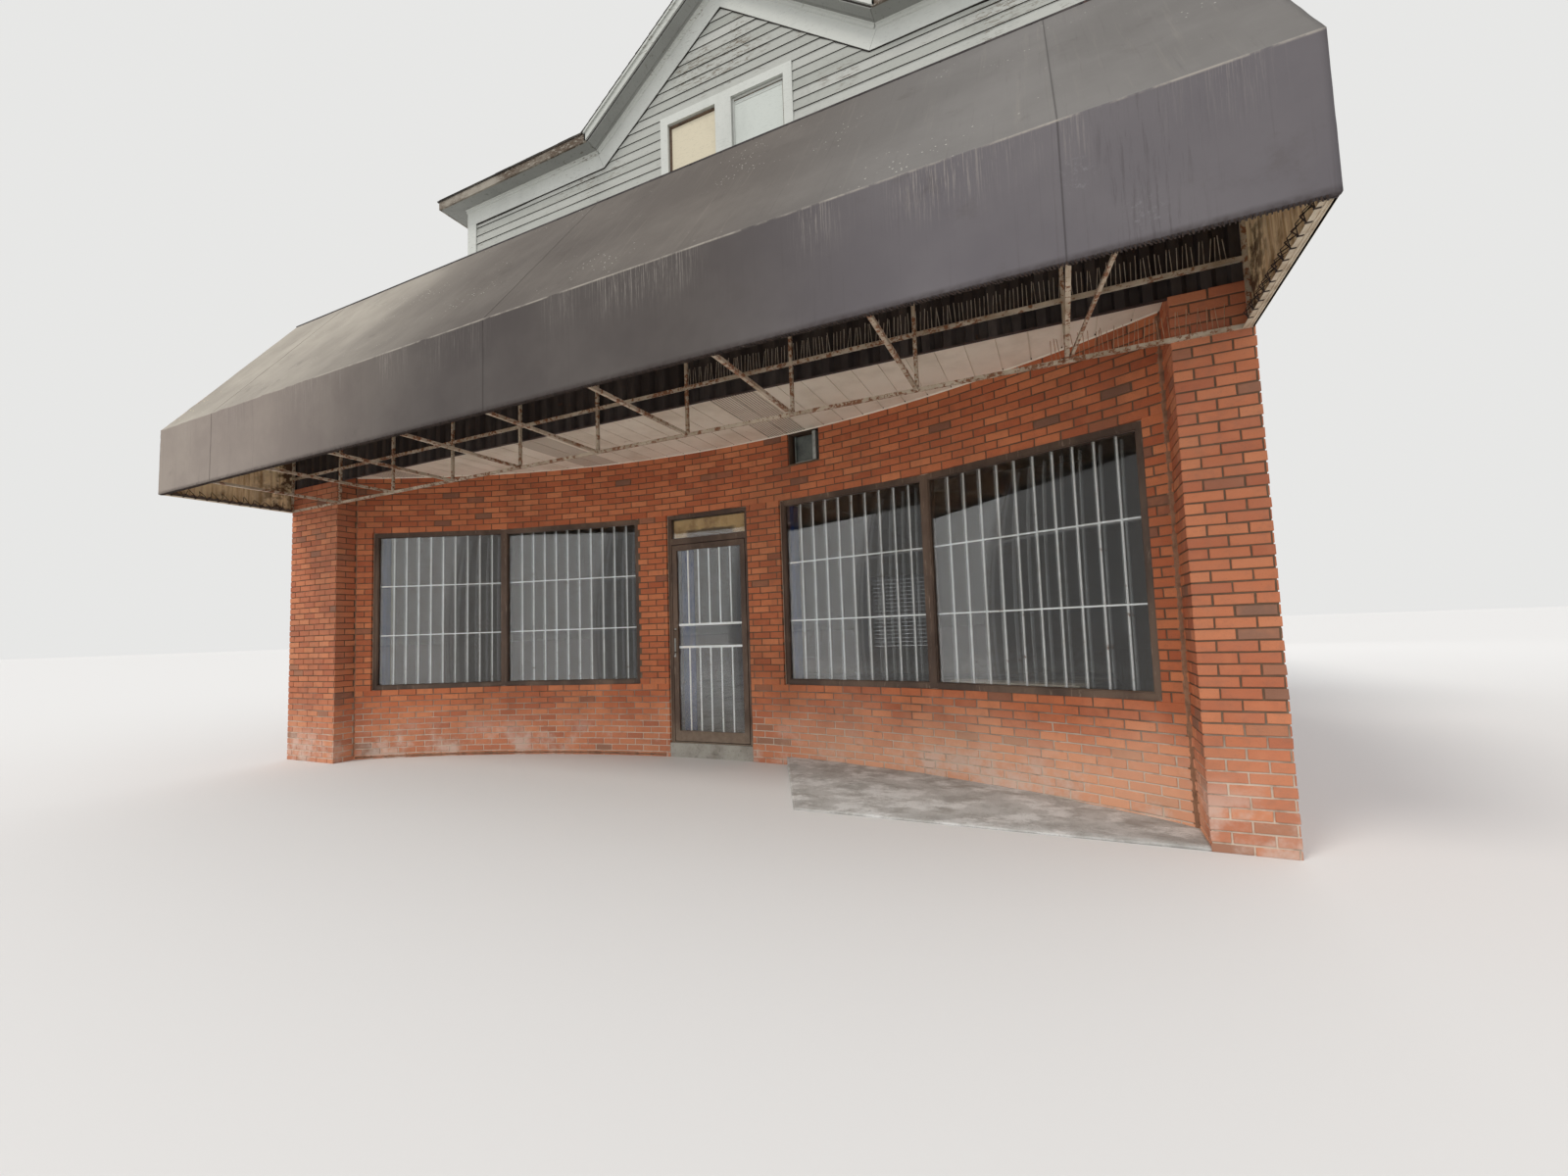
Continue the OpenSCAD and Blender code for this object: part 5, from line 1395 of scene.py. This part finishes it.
def stage():
    """The studio's plain floor."""
    mesh = bpy.data.meshes.new("floor")
    mesh.from_pydata([(x * FLOOR_HALF, y * FLOOR_HALF, 0) for x, y in square(1)], [], [(0, 1, 2, 3)])
    floor = bpy.data.objects.new("floor", mesh)
    bpy.context.scene.collection.objects.link(floor)
    mesh.materials.append(Paint("studio_floor", Roughness=0.9, Base_Color=(0.74, 0.73, 0.715, 1)).material)


def lamp(kind, name, place, aim, power, colour=(1, 1, 1), **settings):
    """A light at a place that shines along aim. Only its light on surfaces shows."""
    data = bpy.data.lights.new(name, kind)
    data.energy, data.color = power, colour
    for key, value in settings.items():
        setattr(data, key, value)
    light = bpy.data.objects.new(name, data)
    light.location = place
    light.rotation_euler = Vector(aim).to_track_quat("-Z", "Y").to_euler()
    light.visible_camera = light.visible_glossy = light.visible_transmission = False
    bpy.context.scene.collection.objects.link(light)


def lights():
    """A plain pale surround, a soft sun and two large soft boxes."""
    world = bpy.data.worlds.new("studio")
    bpy.context.scene.world = world
    world.use_nodes = True
    tree = world.node_tree
    sky, seen = tree.nodes["Background"], tree.nodes.new("ShaderNodeBackground")
    for node, colour, strength in ((sky, (0.97, 0.98, 1.0, 1), 0.92), (seen, (0.80, 0.80, 0.79, 1), 1.0)):
        node.inputs["Color"].default_value = colour
        node.inputs["Strength"].default_value = strength
    path = tree.nodes.new("ShaderNodeLightPath")
    share = path.outputs["Is Camera Ray"]
    for name in ("Is Glossy Ray", "Is Transmission Ray"):
        either = tree.nodes.new("ShaderNodeMath")
        either.operation = "MAXIMUM"
        for ray, socket in ((share, either.inputs[0]), (path.outputs[name], either.inputs[1])):
            tree.links.new(ray, socket)
        share = either.outputs[0]
    mixed = tree.nodes.new("ShaderNodeMixShader")
    for source, socket in zip((share, sky.outputs[0], seen.outputs[0]), mixed.inputs):
        tree.links.new(source, socket)
    tree.links.new(mixed.outputs[0], tree.nodes["World Output"].inputs["Surface"])
    lamp("SUN", "sun", (0, 0, 20), (0.42, 0.70, -0.95), 1.15, (1.0, 0.96, 0.90), angle=math.radians(16))
    soft_box = {"shape": "RECTANGLE", "size": 28, "size_y": 7}
    lamp("AREA", "front_box", (0, -18, 3.9), (0, 1, -0.04), 330, **soft_box)
    lamp("AREA", "back_box", (3, 24, 8), (0, -1, -0.2), 260, **soft_box)


def camera():
    """The photograph's own viewpoint: lens, place and tilt."""
    data = bpy.data.cameras.new("camera")
    data.sensor_width, data.lens, data.clip_end = 36, LENS, 2000
    right, up, forward = (Vector(v) for v in VIEW_AXES)
    view = bpy.data.objects.new("camera", data)
    view.matrix_world = Matrix.Translation(VIEWPOINT) @ Matrix((right, up, -forward)).transposed().to_4x4()
    bpy.context.scene.collection.objects.link(view)
    bpy.context.scene.camera = view


def main():
    bpy.context.scene.view_settings.view_transform = "Standard"
    camera()
    finish_cad_nodes()
    shopfront_bricks()
    pier_bricks()
    party_bricks("left_party_bricks", -HALF_W, -1)
    party_bricks("right_party_bricks", HALF_W, 1)
    back_bricks()
    house_boards()
    main_shingles()
    gable_shingles()
    roof_trim()
    soffit_boards()
    soffit_moulding()
    awning_cover()
    awning_end("awning_end_left", -HALF_W, -1)
    awning_end("awning_end_right", HALF_W, 1)
    lacing()
    awning_top_bar()
    needles("bird_spikes", 0.95, HALF_W - 0.06, WALL_TUBES_Z + MID_TUBE_H + TUBE, NEEDLE)
    needles("low_bird_spikes", 3.72, HALF_W - 0.10, WALL_TUBES_Z + TUBE, RUSTY_NEEDLE)
    ceiling_panels()
    caulk_lines()
    frame_details()
    vent_details()
    sash_frames()
    flat_roof()
    apron()
    stage()
    lights()


main()
